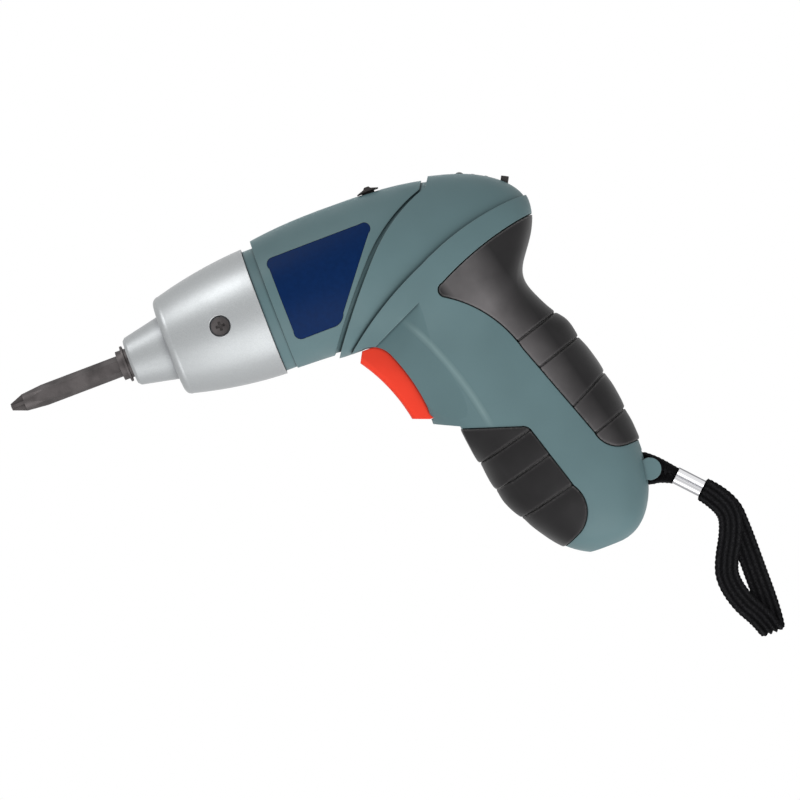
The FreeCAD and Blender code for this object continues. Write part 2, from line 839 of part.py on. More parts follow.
def mirrored(shape):
    return shape.mirror(ORIGIN, Y_AXIS)


def make_housing():
    half = housing_half()
    zone = prism(side_wire(LABEL_SHARES))
    label_floor = skin(FRONT_INSET + d.label_thickness + d.fit_gap / 4, d.band_hollow)
    pilots = [cross_rod(p.x, p.z, d.screw_radius, -d.screw_reach, d.overrun) for p in boss_places()]
    left = half.cut([zone.cut(label_floor)] + pilots)
    keep_shape("housing_left", left)
    bores = []
    for p in boss_places():
        bores.append(cross_rod(p.x, p.z, d.screw_radius + d.fit_gap, -d.overrun, d.overrun))
        bores.append(cross_rod(p.x, p.z, d.screw_head_radius + d.fit_gap, d.screw_head_depth, 2 * d.overrun))
    keep_shape("housing_right", mirrored(half).cut(bores))
    label = prism(side_wire(LABEL_SHARES).makeOffset2D(-d.fit_gap / 2, SHARP_JOIN))
    face, back = (skin(FRONT_INSET + depth, d.band_hollow) for depth in (0, d.label_thickness))
    keep_shape("label", label.common(face).cut(back))


def slot_strip(ends):
    start, end = map(side_point, ends)
    along = end.sub(start)
    across = Vector(-along.z, 0, along.x).normalize() * d.rib_slot
    return prism(Part.makePolygon([start, end, end + across, start + across, start]))


def make_grip(label, zone_shares, slot_shares):
    """One rubber grip for each half, cut across by narrow slots."""
    cover = skin(-d.grip_proud).cut(skin(d.grip_depth))
    pad = grip_zone(zone_shares, d.grip_gap).common(cover)
    floor = skin(d.rib_slot_depth)
    pad = pad.cut([slot_strip(ends).cut(floor) for ends in slot_shares])
    trims = [front_trim(), *rooms()]
    pad = pad.cut(trims)
    keep_shape(label + "_left", pad)
    keep_shape(label + "_right", mirrored(pad))


# Nose and gear case

CASE_BACK = "(collar_length + seam + flange_thickness)"
CASE_INNER = "(case_front - case_wall)"


def make_nose():
    nose = turned(
        "nose_cone",
        [
            ("0", "case_radius + fit_gap"),
            ("0", "nose_back_radius", "-nose_bulge_radius"),
            ("shoulder_round - nose_shoulder", "nose_front_radius", "-shoulder_round"),
            ("-nose_shoulder", "nose_front_radius - shoulder_round"),
            ("-nose_shoulder", "neck_back_radius"),
            ("neck_chamfer - nose_length", "neck_front_radius"),
            ("-nose_length", "neck_front_radius - neck_chamfer"),
            ("-nose_length", "bush_radius + running_gap"),
            ("bush_recess + bush_length - nose_length", "bush_radius + running_gap"),
            ("bush_recess + bush_length - nose_length", "spindle_radius + 4 * fit_gap"),
            ("-case_front - fit_gap", "spindle_radius + 4 * fit_gap"),
            ("-case_front - fit_gap", "case_radius + fit_gap"),
        ],
    )
    for side, way in (("near", "nose_screw_seat"), ("far", "-nose_screw_seat")):
        recess = sketch_on(nose, f"nose_recess_{side}", "XZ_Plane", way)
        circles(recess, [("-nose_screw_place", "0", "nose_screw_recess")])
        add_pocket(nose, recess, "nose_back_radius", backwards=side == "near")
    hole = sketch_on(nose, "nose_screw_hole", "XZ_Plane")
    circles(hole, [("-nose_screw_place", "0", "nose_screw_radius + fit_gap")])
    add_pocket(nose, hole, "2 * nose_back_radius", both_ways=True)
    keep(nose)
    case = turned(
        "gear_case",
        [
            ("-case_front", "spindle_radius + fit_gap"),
            ("-case_front", "case_radius"),
            ("collar_length + seam", "case_radius"),
            ("collar_length + seam", "flange_radius"),
            (CASE_BACK, "flange_radius"),
            (CASE_BACK, "case_bore"),
            (f"-{CASE_INNER}", "case_bore"),
            (f"-{CASE_INNER}", "spindle_radius + fit_gap"),
        ],
    )
    hole = sketch_on(case, "case_screw_hole", "XZ_Plane")
    circles(hole, [("-nose_screw_place", "0", "nose_screw_radius + running_gap")])
    add_pocket(case, hole, "2 * flange_radius", both_ways=True)
    keep(case)


def cross_screw(head_radius, head_height, radius, length):
    """A screw along Z with its head's underside at the origin and a cross recess in the head."""
    head = Part.makeCylinder(head_radius, head_height)
    shank = Part.makeCylinder(radius, length, Vector(0, 0, -length))
    arm, wide = head_radius, d.cross_width
    top = head_height - d.cross_depth
    bars = [
        Part.makeBox(arm, wide, head_height, Vector(-arm / 2, -wide / 2, top)),
        Part.makeBox(wide, arm, head_height, Vector(-wide / 2, -arm / 2, top)),
    ]
    return head.fuse(shank).cut(bars)


def make_screws():
    reach = d.nose_screw_seat - d.nose_screw_tip
    nose = cross_screw(d.nose_screw_head, d.nose_screw_head_height, d.nose_screw_radius, reach)
    sides = []
    for side in (-1, 1):
        seat = Vector(-d.nose_screw_place, side * d.nose_screw_seat, 0)
        sides.append(placed(nose, Placement(seat, Rotation(Z_AXIS, Y_AXIS * side))))
    keep_shape("nose_screws", Part.makeCompound(sides))
    reach = d.screw_head_depth + d.screw_reach - d.rib
    long_screw = cross_screw(
        d.screw_head_radius, d.screw_head_height, d.screw_radius - d.running_gap, reach
    )
    turn = Rotation(Z_AXIS, Y_AXIS)
    seats = [Placement(Vector(place.x, d.screw_head_depth, place.z), turn) for place in boss_places()]
    keep_shape("housing_screws", Part.makeCompound([placed(long_screw, seat) for seat in seats]))


# Planetary gears

STAGE_ONE_FRONT = "(stage_one_back + stage_one_length)"
CARRIER_BACK = f"({STAGE_ONE_FRONT} + stage_gap)"
CARRIER_FRONT = f"({CARRIER_BACK} + carrier_thickness)"
STAGE_TWO_BACK = f"({CARRIER_FRONT} + stage_gap)"
STAGE_TWO_FRONT = f"({STAGE_TWO_BACK} + stage_two_length)"
DISC_BACK = f"({STAGE_TWO_FRONT} + stage_gap)"
DISC_FRONT = f"({DISC_BACK} + spindle_disc)"
ORBIT = "((sun_teeth + planet_teeth) * tooth_module / 2)"
RING_TEETH = int(d.sun_teeth + 2 * d.planet_teeth)


def gear_wire(teeth, x, start_share, inward=False):
    """The toothed outline of a gear; start_share turns it by a share of one tooth."""
    pitch_radius = teeth * d.tooth_module / 2
    sign = -1 if inward else 1
    tip = pitch_radius + sign * ADDENDUM_SHARE * d.tooth_module
    root = pitch_radius - sign * DEDENDUM_SHARE * d.tooth_module
    rising = [(-TOOTH_ROOT_SHARE, root), (-TOOTH_TIP_SHARE, tip)]
    falling = [(TOOTH_TIP_SHARE, tip), (TOOTH_ROOT_SHARE, root)]
    points = []
    for tooth in range(teeth):
        for share, radius in rising + falling:
            angle = 2 * math.pi * (tooth + start_share + share) / teeth
            points.append(Vector(x, radius * math.cos(angle), radius * math.sin(angle)))
    return Part.makePolygon(points + points[:1])


def gear(teeth, back, length, start_share=0.0):
    return Part.Face(gear_wire(teeth, -back - length, start_share)).extrude(X_AXIS * length)


def orbit_angles():
    return [2 * math.pi * number / d.planet_count for number in range(int(d.planet_count))]


def orbit_point(angle, x):
    radius = value(ORBIT)
    return Vector(x, radius * math.cos(angle), radius * math.sin(angle))


def make_planets(stage, back, length):
    half_tooth_share = 0.5
    for number, angle in enumerate(orbit_angles(), start=1):
        spin_share = half_tooth_share + angle * d.planet_teeth / (2 * math.pi)
        wheel = gear(int(d.planet_teeth), back, length, spin_share)
        bore = axial_rod(d.planet_pin + d.running_gap, 0, -back - length)
        wheel = wheel.cut(bore)
        wheel.translate(orbit_point(angle, 0))
        keep_shape(f"{stage}_planet_{number}", wheel)


def make_gears():
    make_planets("stage_one", d.stage_one_back, d.stage_one_length)
    make_planets("stage_two", value(STAGE_TWO_BACK), d.stage_two_length)
    ring = axial_rod(d.case_bore - d.running_gap, -d.ring_back, -d.ring_back - d.ring_length)
    teeth = Part.Face(gear_wire(RING_TEETH, -d.ring_back - d.ring_length, 0, inward=True))
    keep_shape("ring_gear", ring.cut(teeth.extrude(X_AXIS * d.ring_length)))
    disc = axial_rod(d.carrier_radius, -value(CARRIER_BACK), -value(CARRIER_FRONT))
    sun = gear(int(d.sun_teeth), value(CARRIER_FRONT), value(STAGE_TWO_FRONT) - value(CARRIER_FRONT))
    pin_length = value(CARRIER_BACK) - d.stage_one_back
    feet = [orbit_point(angle, -value(CARRIER_BACK)) for angle in orbit_angles()]
    pins = [Part.makeCylinder(d.planet_pin, pin_length, foot, X_AXIS) for foot in feet]
    keep_shape("stage_one_carrier", disc.fuse([sun] + pins))
    pinion = gear(int(d.sun_teeth), d.stage_one_back - d.stage_gap, d.stage_one_length + d.stage_gap)
    keep_shape("motor_pinion", pinion.cut(axial_rod(d.shaft_radius, 0, -d.overrun)))


def hexagon(half):
    """Corners of a hexagon across two flats, with corners up and down."""
    flat, corner = f"({half})", f"({half}) / sqrt(3)"
    point = f"2 * ({half}) / sqrt(3)"
    return [
        ("0", point),
        (f"-{flat}", corner),
        (f"-{flat}", f"-{corner}"),
        ("0", f"-{point}"),
        (flat, f"-{corner}"),
        (flat, corner),
    ]


def make_spindle():
    spindle = turned(
        "spindle",
        [
            (f"-{DISC_BACK}", "0"),
            (f"-{DISC_BACK}", "carrier_radius"),
            (f"-{DISC_FRONT}", "carrier_radius"),
            (f"-{DISC_FRONT}", "spindle_radius"),
            ("-ring_place", "spindle_radius"),
            ("-ring_place", "ring_groove_radius"),
            ("-ring_place - ring_thickness", "ring_groove_radius"),
            ("-ring_place - ring_thickness", "spindle_radius"),
            ("-spindle_front", "spindle_radius"),
            ("-spindle_front", "0"),
        ],
    )
    pin = sketch_on(spindle, "spindle_pin", "YZ_Plane", f"-{DISC_BACK}")
    circles(pin, [(ORBIT, "0", "planet_pin")])
    add_polar(spindle, add_pad(spindle, pin, "stage_two_length + stage_gap"), pin, "planet_count")
    socket = sketch_on(spindle, "spindle_socket", "YZ_Plane", "-spindle_front")
    outline(socket, hexagon("bit_hex / 2 + running_gap"))
    add_pocket(spindle, socket, "socket_depth", backwards=True)
    well = sketch_on(spindle, "spindle_magnet_well", "YZ_Plane", "-spindle_front")
    circles(well, [("0", "0", "magnet_radius + running_gap")])
    add_pocket(spindle, well, "socket_depth + magnet_length", backwards=True)
    keep(spindle)
    well = "socket_depth - spindle_front"
    keep(turned("bit_magnet", ring_profile(well, f"{well} + magnet_length", "0", "magnet_radius")))
    sliding = "spindle_radius + running_gap"
    front = "bush_recess - nose_length"
    keep(turned("spindle_bush", ring_profile(front, f"{front} + bush_length", sliding, "bush_radius")))
    back = f"-{DISC_FRONT} - running_gap"
    keep(turned("thrust_washer", ring_profile(back, f"{back} - washer_thickness", sliding, "washer_radius")))
    back, front = "-ring_place - running_gap", "running_gap - ring_place - ring_thickness"
    loose = "ring_groove_radius + running_gap"
    keep(turned("retaining_ring", ring_profile(back, front, loose, "ring_radius")))


def make_bit():
    bit = new_body("bit")
    back = "(spindle_front - socket_depth + running_gap)"
    shank = sketch_on(bit, "bit_shank", "YZ_Plane", f"-{back}")
    outline(shank, hexagon("bit_hex / 2"))
    add_pad(bit, shank, "bit_length", backwards=True)
    neck_start = f"({back} + bit_length - bit_neck_length)"
    tip_start = f"({back} + bit_length - bit_tip_length)"
    profile = sketch_on(bit, "bit_tip", "XZ_Plane")
    outline(
        profile,
        [
            (f"-{neck_start}", "bit_hex"),
            (f"-{neck_start}", "bit_hex / sqrt(3)"),
            (f"-{tip_start}", "bit_tip_base"),
            (f"-{back} - bit_length", "bit_tip_radius"),
            (f"-{back} - bit_length - bit_tip_length", "bit_tip_radius"),
            (f"-{back} - bit_length - bit_tip_length", "bit_hex"),
        ],
    )
    turned_down = bit.newObject("PartDesign::Groove", "bit_tip_cone")
    turned_down.Profile = profile
    turned_down.ReferenceAxis = (profile, ["H_Axis"])
    turned_down.Angle = 360
    doc.recompute()
    flute = sketch_on(bit, "bit_flute", "YZ_Plane", f"-{back} - bit_length")
    outline(flute, box_profile("bit_blade / 2", "bit_hex", "bit_blade / 2", "bit_hex"))
    add_polar(bit, add_pocket(bit, flute, "bit_tip_length", backwards=True), flute, "blade_count")
    keep(bit)


# Motor

MOTOR_BACK = f"({CASE_BACK} + motor_length)"
ARMATURE_FRONT = f"({CASE_BACK} + (motor_length - armature_length) / 2 - can_wall)"
ARMATURE_BACK = f"({ARMATURE_FRONT} + armature_length)"
COMMUTATOR_FRONT = f"({ARMATURE_BACK} + winding_length + seam)"


def make_motor():
    inner = "(motor_radius - can_wall)"
    can = turned(
        "motor_can",
        [
            (MOTOR_BACK, inner),
            (MOTOR_BACK, "motor_radius"),
            (CASE_BACK, "motor_radius"),
            (CASE_BACK, "motor_boss_radius"),
            (f"{CASE_BACK} - motor_boss_length", "motor_boss_radius"),
            (f"{CASE_BACK} - motor_boss_length", "shaft_radius + running_gap"),
            (f"{CASE_BACK} + can_wall", "shaft_radius + running_gap"),
            (f"{CASE_BACK} + can_wall", inner),
        ],
    )
    hole = sketch_on(can, "motor_can_hole", "YZ_Plane", CASE_BACK)
    circles(hole, [("0", "motor_screw_place", "motor_screw_radius + running_gap")])
    add_polar(can, add_pocket(can, hole, "can_wall", backwards=True), hole, "motor_screw_count")
    keep(can)
    front = f"{CASE_BACK} - plate_thickness"
    plate = turned(
        "motor_plate", ring_profile(front, CASE_BACK, "motor_boss_radius + fit_gap", "case_bore - fit_gap")
    )
    hole = sketch_on(plate, "motor_plate_hole", "YZ_Plane", front)
    circles(hole, [("0", "motor_screw_place", "motor_screw_radius + fit_gap")])
    add_polar(plate, add_pocket(plate, hole, "plate_thickness", backwards=True), hole, "motor_screw_count")
    keep(plate)
    screw = cross_screw(
        d.motor_screw_head, d.motor_screw_head_height, d.motor_screw_radius, d.motor_screw_length
    )
    seat = value(front)
    turn = Rotation(Z_AXIS, X_AXIS * -1)
    seats = [Placement(Vector(seat, 0, side * d.motor_screw_place), turn) for side in (-1, 1)]
    keep_shape("motor_screws", Part.makeCompound([placed(screw, place) for place in seats]))
    keep(
        turned(
            "motor_end_bell",
            [
                (f"{MOTOR_BACK} - bell_thickness", "shaft_radius + running_gap"),
                (f"{MOTOR_BACK} - bell_thickness", f"{inner} - running_gap"),
                (MOTOR_BACK, f"{inner} - running_gap"),
                (MOTOR_BACK, "motor_boss_radius"),
                (f"{MOTOR_BACK} + motor_boss_length", "motor_boss_radius"),
                (f"{MOTOR_BACK} + motor_boss_length", "shaft_radius + running_gap"),
            ],
        )
    )
    back = f"{MOTOR_BACK} + motor_boss_length"
    keep(turned("motor_shaft", ring_profile(f"-{STAGE_ONE_FRONT}", back, "0", "shaft_radius")))
    core = turned("armature", ring_profile(ARMATURE_FRONT, ARMATURE_BACK, "shaft_radius", "armature_radius"))
    slot = sketch_on(core, "armature_slot_cut", "YZ_Plane", ARMATURE_FRONT)
    half = "armature_slot / 2"
    outline(slot, box_profile(f"-{half}", half, "armature_radius / 2", "2 * armature_radius"))
    add_polar(core, add_pocket(core, slot, "armature_length", backwards=True), slot, "pole_count")
    keep(core)
    back = f"{ARMATURE_BACK} + winding_length"
    keep(turned("armature_winding", ring_profile(ARMATURE_BACK, back, "shaft_radius", "winding_radius")))
    back = f"{COMMUTATOR_FRONT} + commutator_length"
    keep(turned("commutator", ring_profile(COMMUTATOR_FRONT, back, "shaft_radius", "commutator_radius")))
    make_motor_pairs()


def make_motor_pairs():
    """The two field magnets, the two brushes and the two terminals."""
    outer = d.motor_radius - d.can_wall - d.running_gap
    front = value(ARMATURE_FRONT)
    back = front + d.armature_length
    tube = axial_rod(outer, back, front).cut(axial_rod(outer - d.magnet_thickness, back, front))
    half_arc = math.pi * MAGNET_ARC_SHARE
    across, up = d.overrun * math.cos(half_arc), d.overrun * math.sin(half_arc)
    wedge = [ORIGIN, Vector(0, across, up), Vector(0, 2 * d.overrun, 0), Vector(0, across, -up), ORIGIN]
    magnet = tube.common(Part.Face(Part.makePolygon(wedge)).extrude(X_AXIS * back))
    keep_shape("motor_magnets", Part.makeCompound([magnet, mirrored(magnet)]))
    place = value(COMMUTATOR_FRONT)
    half = d.brush_half_width
    near = d.commutator_radius + d.running_gap
    corner = Vector(place + half / 2, near, -half)
    brush = Part.makeBox(d.commutator_length - half, d.brush_length, 2 * half, corner)
    keep_shape("motor_brushes", Part.makeCompound([brush, mirrored(brush)]))
    back = value(MOTOR_BACK)
    wide, thin = d.terminal_width, d.terminal_thickness
    blades = []
    for side in (-1, 1):
        corner = Vector(back, -wide / 2, side * d.terminal_place - thin / 2)
        blades.append(Part.makeBox(d.terminal_reach, wide, thin, corner))
    keep_shape("motor_terminals", Part.makeCompound(blades))


# Controls


def of_reach(share):
    return tuple(f"{part} * reach" for part in share)


def make_trigger():
    top, tip, heel, lip = [of_reach(share) for share in TRIGGER_FACE_SHARES]
    rear = [("trigger_depth", lip[1]), ("trigger_depth", top[1])]
    face = [top, (*tip, "trigger_curve_radius"), heel, lip, *rear]
    trigger = slab("trigger", [(face, "2 * trigger_half_width")])
    stem = sketch_on(trigger, "trigger_stem", "YZ_Plane", "trigger_depth")
    half = "stem_half_width"
    outline(stem, box_profile(f"-{half}", half, f"-stem_height - {half}", f"{half} - stem_height"))
    whole = add_pad(trigger, stem, "stem_end - trigger_depth")
    rounded = []
    for number, edge in enumerate(trigger.Shape.Edges, start=1):
        if edge.Curve.TypeId == "Part::GeomCircle":
            rounded.append(f"Edge{number}")
    rounding = trigger.newObject("PartDesign::Fillet", "trigger_rounding")
    rounding.Base = (whole, rounded)
    rounding.setExpression("Radius", formula("trigger_round"))
    doc.recompute()
    keep(trigger)
    low, back = "-switch_top - switch_height", "switch_front + switch_length"
    side = box_profile("switch_front", back, low, "-switch_top")
    switch = slab("trigger_switch", [(side, "switch_width")])
    bore = sketch_on(switch, "trigger_switch_bore", "YZ_Plane", "switch_front")
    half = "(stem_half_width + running_gap)"
    outline(bore, box_profile(f"-{half}", half, f"-stem_height - {half}", f"{half} - stem_height"))
    add_pocket(switch, bore, "stem_end + trigger_travel + seam - switch_front", backwards=True)
    keep(switch)


def make_slider():
    hill = [
        (f"slider_place + {across} * slider_half_length", f"slider_base + {up} * slider_peak")
        for across, up in SLIDER_HILL_SHARES
    ]

    def block(half, bottom, top):
        return box_profile(f"slider_place - ({half})", f"slider_place + ({half})", bottom, top)

    plate_low = "slider_plate_top - slider_plate"
    peg_low = "direction_switch_top - direction_switch_height / 2"
    layers = [
        (hill, "2 * slider_half_width"),
        (block("slider_neck_half", plate_low, "slider_base"), "2 * (slider_half_width - rib)"),
        (block("slider_half_length", plate_low, "slider_plate_top"), "2 * slider_half_width"),
        (block("slider_peg", peg_low, "slider_plate_top"), "2 * slider_peg"),
    ]
    keep(slab("direction_slider", layers))
    low, high = "direction_switch_top - direction_switch_height", "direction_switch_top"
    box = block("direction_switch_half_length", low, high)
    switch = slab("direction_switch", [(box, "2 * direction_switch_half_width")])
    slot = sketch_on(switch, "direction_switch_slot", "XZ_Plane")
    outline(slot, block("slider_peg + slider_travel + fit_gap", f"{peg_low} - fit_gap", f"{high} + fit_gap"))
    add_pocket(switch, slot, "2 * (slider_peg + fit_gap)", both_ways=True)
    keep(switch)


def primitive(kind, label, place=None, **formulas):
    shape = doc.addObject(kind, label)
    if place:
        shape.Placement = place
    for name, text in formulas.items():
        shape.setExpression(name, formula(text))
    return shape


def joined(kind, label, pieces, local=None):
    group = doc.addObject(kind, label)
    setattr(group, "Links" if kind == "Part::Compound" else "Shapes", pieces)
    doc.recompute()
    return keep(group, local)


def make_test_panel():
    """The battery test button, the three lights and their board, square to the slope of the back."""
    tall = "button_stem + button_proud"
    at = Placement(Vector(d.button_place, 0, -d.button_stem), Rotation())
    stem = primitive("Part::Cylinder", "button_rod", at, Radius="button_radius", Height=tall)
    at = Placement(Vector(d.button_place, 0, -d.button_stem - d.button_flange), Rotation())
    wide = "button_flange_radius"
    flange = primitive("Part::Cylinder", "button_disc", at, Radius=wide, Height="button_flange")
    joined("Part::MultiFuse", "test_button", [stem, flange], SLOPE)
    lenses = []
    for number in (-1, 0, 1):
        rod = light_rod(number, d.light_radius, BOARD_DEPTH, d.light_proud)
        dome = Part.makeSphere(d.light_dome, Vector(number * d.light_pitch, 0, d.light_proud - d.light_dome))
        shaft = light_rod(number, d.light_radius, BOARD_DEPTH, d.light_proud - d.light_dome)
        lenses.append(placed(rod.common(dome.fuse(shaft)), SLOPE))
    keep_shape("indicator_lights", Part.makeCompound(lenses))
    corner = Vector(-d.board_front, -d.board_half_width, -BOARD_DEPTH - d.board_thickness)
    board = primitive(
        "Part::Box",
        "indicator_board",
        Length="board_front + board_back",
        Width="2 * board_half_width",
        Height="board_thickness",
    )
    doc.recompute()
    keep(board, SLOPE.multiply(Placement(corner, Rotation())))


# Battery and charge socket


def make_battery():
    half = d.cell_radius + d.cell_gap / 2
    cells = []
    for number, (along, across) in enumerate([(-1, -1), (-1, 1), (1, -1), (1, 1)], start=1):
        foot = Placement(Vector(along * half, across * half, -d.cell_length / 2), Rotation())
        name = f"cell_{number}"
        cells.append(primitive("Part::Cylinder", name, foot, Radius="cell_radius", Height="cell_length"))
    joined("Part::Compound", "battery_cells", cells, BATTERY)
    tabs = []
    for number, (along, height) in enumerate([(-1, -1), (1, -1), (-1, 1), (1, 1)], start=1):
        face = height * d.cell_length / 2 - (d.tab_thickness if height < 0 else 0)
        corner = Placement(Vector(along * half - d.tab_half_width, -d.tab_half_length, face), Rotation())
        tab = primitive(
            "Part::Box",
            f"tab_{number}",
            corner,
            Length="2 * tab_half_width",
            Width="2 * tab_half_length",
            Height="tab_thickness",
        )
        tabs.append(tab)
    joined("Part::Compound", "battery_tabs", tabs, BATTERY)


def make_jack():
    foot = Placement(Vector(d.jack_place, 0, -d.jack_bottom), Rotation())
    body = primitive("Part::Cylinder", "jack_body", foot, Radius="jack_radius", Height="jack_length")
    bore = primitive("Part::Cylinder", "jack_bore_rod", foot, Radius="jack_bore", Height="jack_depth")
    jack = doc.addObject("Part::Cut", "charge_socket")
    jack.Base, jack.Tool = body, bore
    doc.recompute()
    keep(jack)
    inside = Vector(d.jack_place, 0, d.jack_depth / 4 - d.jack_bottom)
    pin = primitive("Part::Cylinder", "charge_pin", Radius="jack_pin", Height="3 * jack_depth / 4")
    doc.recompute()
    keep(pin, Placement(inside, Rotation()))


# Wrist strap


def cord_wire(name, points, y):
    """Straight runs joined by tangent arcs, each as large as its two runs allow."""
    places = [Vector(x, y, z) for x, z in points]
    edges, here, radii = [], places[0], []
    for before, corner, after in zip(places, places[1:], places[2:]):
        arriving, leaving = corner.sub(before), after.sub(corner)
        turn = arriving.getAngle(leaving)
        cutback = ARC_RUN_SHARE * min(arriving.Length, leaving.Length)
        radius = cutback / math.tan(turn / 2)
        start = corner - arriving.normalize() * cutback
        end = corner + leaving.normalize() * cutback
        inward = (start.sub(corner) + end.sub(corner)).normalize()
        through = corner + inward * (radius / math.cos(turn / 2) - radius)
        edges += [Part.LineSegment(here, start).toShape(), Part.Arc(start, through, end).toShape()]
        radii.append(round(radius, 1))
        here = end
    edges.append(Part.LineSegment(here, places[-1]).toShape())
    wire = Part.Wire(edges)
    print(f"{name}: {wire.Length:.1f} mm long, bends of {radii} mm")
    return wire


def flat_section(centre, along, wide_way, wide, thick):
    """A flat section with round edges, square to the way along."""
    thin_way = along.cross(wide_way).normalize()
    reach, half = (wide - thick) / 2, thick / 2
    signs = [(-1, 1), (1, 1), (1, -1), (-1, -1)]
    corners = [centre + wide_way * (a * reach) + thin_way * (b * half) for a, b in signs]
    right, left = centre + wide_way * (reach + half), centre - wide_way * (reach + half)
    return Part.Wire(
        [
            Part.LineSegment(corners[0], corners[1]).toShape(),
            Part.Arc(corners[1], right, corners[2]).toShape(),
            Part.LineSegment(corners[2], corners[3]).toShape(),
            Part.Arc(corners[3], left, corners[0]).toShape(),
        ]
    )


def braid(name, points, y, flat_to_side):
    path = cord_wire(name, points, y)
    start = path.OrderedVertexes[0].Point
    along = path.OrderedEdges[0].tangentAt(path.OrderedEdges[0].FirstParameter)
    wide_way = Y_AXIS.cross(along) if flat_to_side else Y_AXIS
    section = flat_section(start, along, wide_way, d.strap_width, d.strap_thickness)
    tube = path.makePipeShell([section], True, False)
    swept = Part.Face(section).Area * path.Length
    print(f"{name}: volume {tube.Volume:.1f}, section times length {swept:.1f}")
    return tube


def make_strap():
    pin_foot = Placement(Vector(d.lug_place, -PIN_END, -d.lug_drop), Rotation(Z_AXIS, Y_AXIS))
    length = "2 * (lug_half_width - pin_cap)"
    pin = primitive("Part::Cylinder", "strap_pin", Radius="pin_radius", Height=length)
    doc.recompute()
    keep(pin, pin_foot)
    keep_shape("lug_loop", braid("lug_loop", LUG_ROUTE, 0, flat_to_side=False))
    top, end = (Vector(x, 0, z) for x, z in (FERRULE_TOP, FERRULE_END))
    along = end.sub(top)
    across = Y_AXIS.cross(along).normalize()
    barrels = []
    for side in (-1, 1):
        centre = top + across * (side * BARREL_PITCH_SHARE * d.ferrule_barrel)
        section = flat_section(centre, along, Y_AXIS, 2 * d.ferrule_half_width, d.ferrule_barrel)
        barrels.append(Part.Face(section).extrude(along))
    keep_shape("strap_ferrule", barrels[0].fuse(barrels[1]))
    strands = [
        braid("wrist_loop back strand", BACK_STRAND, d.strand_offset, flat_to_side=True),
        braid("wrist_loop front strand", FRONT_STRAND, -d.strand_offset, flat_to_side=True),
    ]
    x, z = BACK_STRAND[-1]
    foot = Vector(x, d.strand_offset, z)
    section = flat_section(foot, Z_AXIS * -1, X_AXIS, d.strap_width, d.strap_thickness)
    fold = Part.Face(section).revolve(Vector(x, 0, z), X_AXIS, -180)
    keep_shape("wrist_loop", strands[0].fuse([strands[1], fold]))


make_housing()
make_grip("rear_grip", REAR_GRIP_SHARES, REAR_SLOT_SHARES)
make_grip("front_grip", FRONT_GRIP_SHARES, FRONT_SLOT_SHARES)
make_nose()
make_screws()
make_gears()
make_spindle()
make_bit()
make_motor()
make_trigger()
make_slider()
make_test_panel()
make_battery()
make_jack()
make_strap()


def check_and_write():
    """Stop on any failed object, then write each node's solid to a file of its own."""
    doc.recompute()
    for thing in doc.Objects:
        if "Invalid" in thing.State or "Error" in thing.State:
            raise RuntimeError(f"{thing.Label} failed: {thing.State}")
    for node in nodes:
        if node.Shape.isNull() or not node.Shape.isValid():
            raise RuntimeError(f"{node.Label} has no valid shape")
    os.makedirs("parts", exist_ok=True)
    for node in nodes:
        node.Shape.exportStep(os.path.join("parts", node.Label + ".step"))
        solids = len(node.Shape.Solids)
        print(f"{node.Label}: {solids} solid(s), {node.Shape.Volume / 1000:.2f} cm3")


check_and_write()
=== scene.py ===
# %% [markdown]
# The object is a small cordless screwdriver with a pistol handle. Its hard pieces come from the
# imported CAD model, which is loaded once and never moved. This lesson weaves the wrist strap, swells
# the rubber grips, gives every piece its finish, and sets up a white studio round the tool.

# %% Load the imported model
import json

import bmesh
import bpy
import numpy as np
from mathutils import Matrix, Vector


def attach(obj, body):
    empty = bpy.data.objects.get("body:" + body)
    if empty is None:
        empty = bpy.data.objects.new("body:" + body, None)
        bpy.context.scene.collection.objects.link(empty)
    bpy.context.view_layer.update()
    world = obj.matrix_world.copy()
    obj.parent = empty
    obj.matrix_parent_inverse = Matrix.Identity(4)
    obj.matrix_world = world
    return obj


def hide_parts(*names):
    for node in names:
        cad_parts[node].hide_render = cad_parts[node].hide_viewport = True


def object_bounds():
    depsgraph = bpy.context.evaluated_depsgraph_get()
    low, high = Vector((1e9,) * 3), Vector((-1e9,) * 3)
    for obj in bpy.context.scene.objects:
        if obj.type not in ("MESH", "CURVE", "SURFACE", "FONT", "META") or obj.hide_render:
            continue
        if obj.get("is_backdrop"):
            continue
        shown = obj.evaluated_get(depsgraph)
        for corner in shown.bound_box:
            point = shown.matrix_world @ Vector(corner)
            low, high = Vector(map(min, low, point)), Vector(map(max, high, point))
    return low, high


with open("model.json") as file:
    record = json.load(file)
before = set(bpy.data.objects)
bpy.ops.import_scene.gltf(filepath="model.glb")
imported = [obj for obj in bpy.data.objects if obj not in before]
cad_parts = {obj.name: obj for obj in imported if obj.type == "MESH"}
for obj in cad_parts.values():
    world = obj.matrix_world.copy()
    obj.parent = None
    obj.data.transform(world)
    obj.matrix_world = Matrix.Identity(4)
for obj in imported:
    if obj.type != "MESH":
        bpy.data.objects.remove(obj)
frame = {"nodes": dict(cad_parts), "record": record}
cad_low, cad_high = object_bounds()
print(len(frame["nodes"]), "nodes, box", [round(v * 1000) for v in cad_high - cad_low], "mm")

# %% [markdown]
# The photograph looks straight at the side of the tool, and the tool is turned in the picture so
# that its nose points down to the left. A tool that hangs in the air could be turned instead, but
# the CAD stays where it is, so the camera is rolled. A long lens keeps the near and the far side
# of the housing almost the same size, as they are in the photograph.

# %% Camera
MM = 0.001
PICTURE_PIXELS = 800
MM_PER_PIXEL = 0.34
PICTURE_ROLL = np.radians(20.8)
PICTURE_MIDDLE = (-42.46, 15.46)
LENS = 180.0

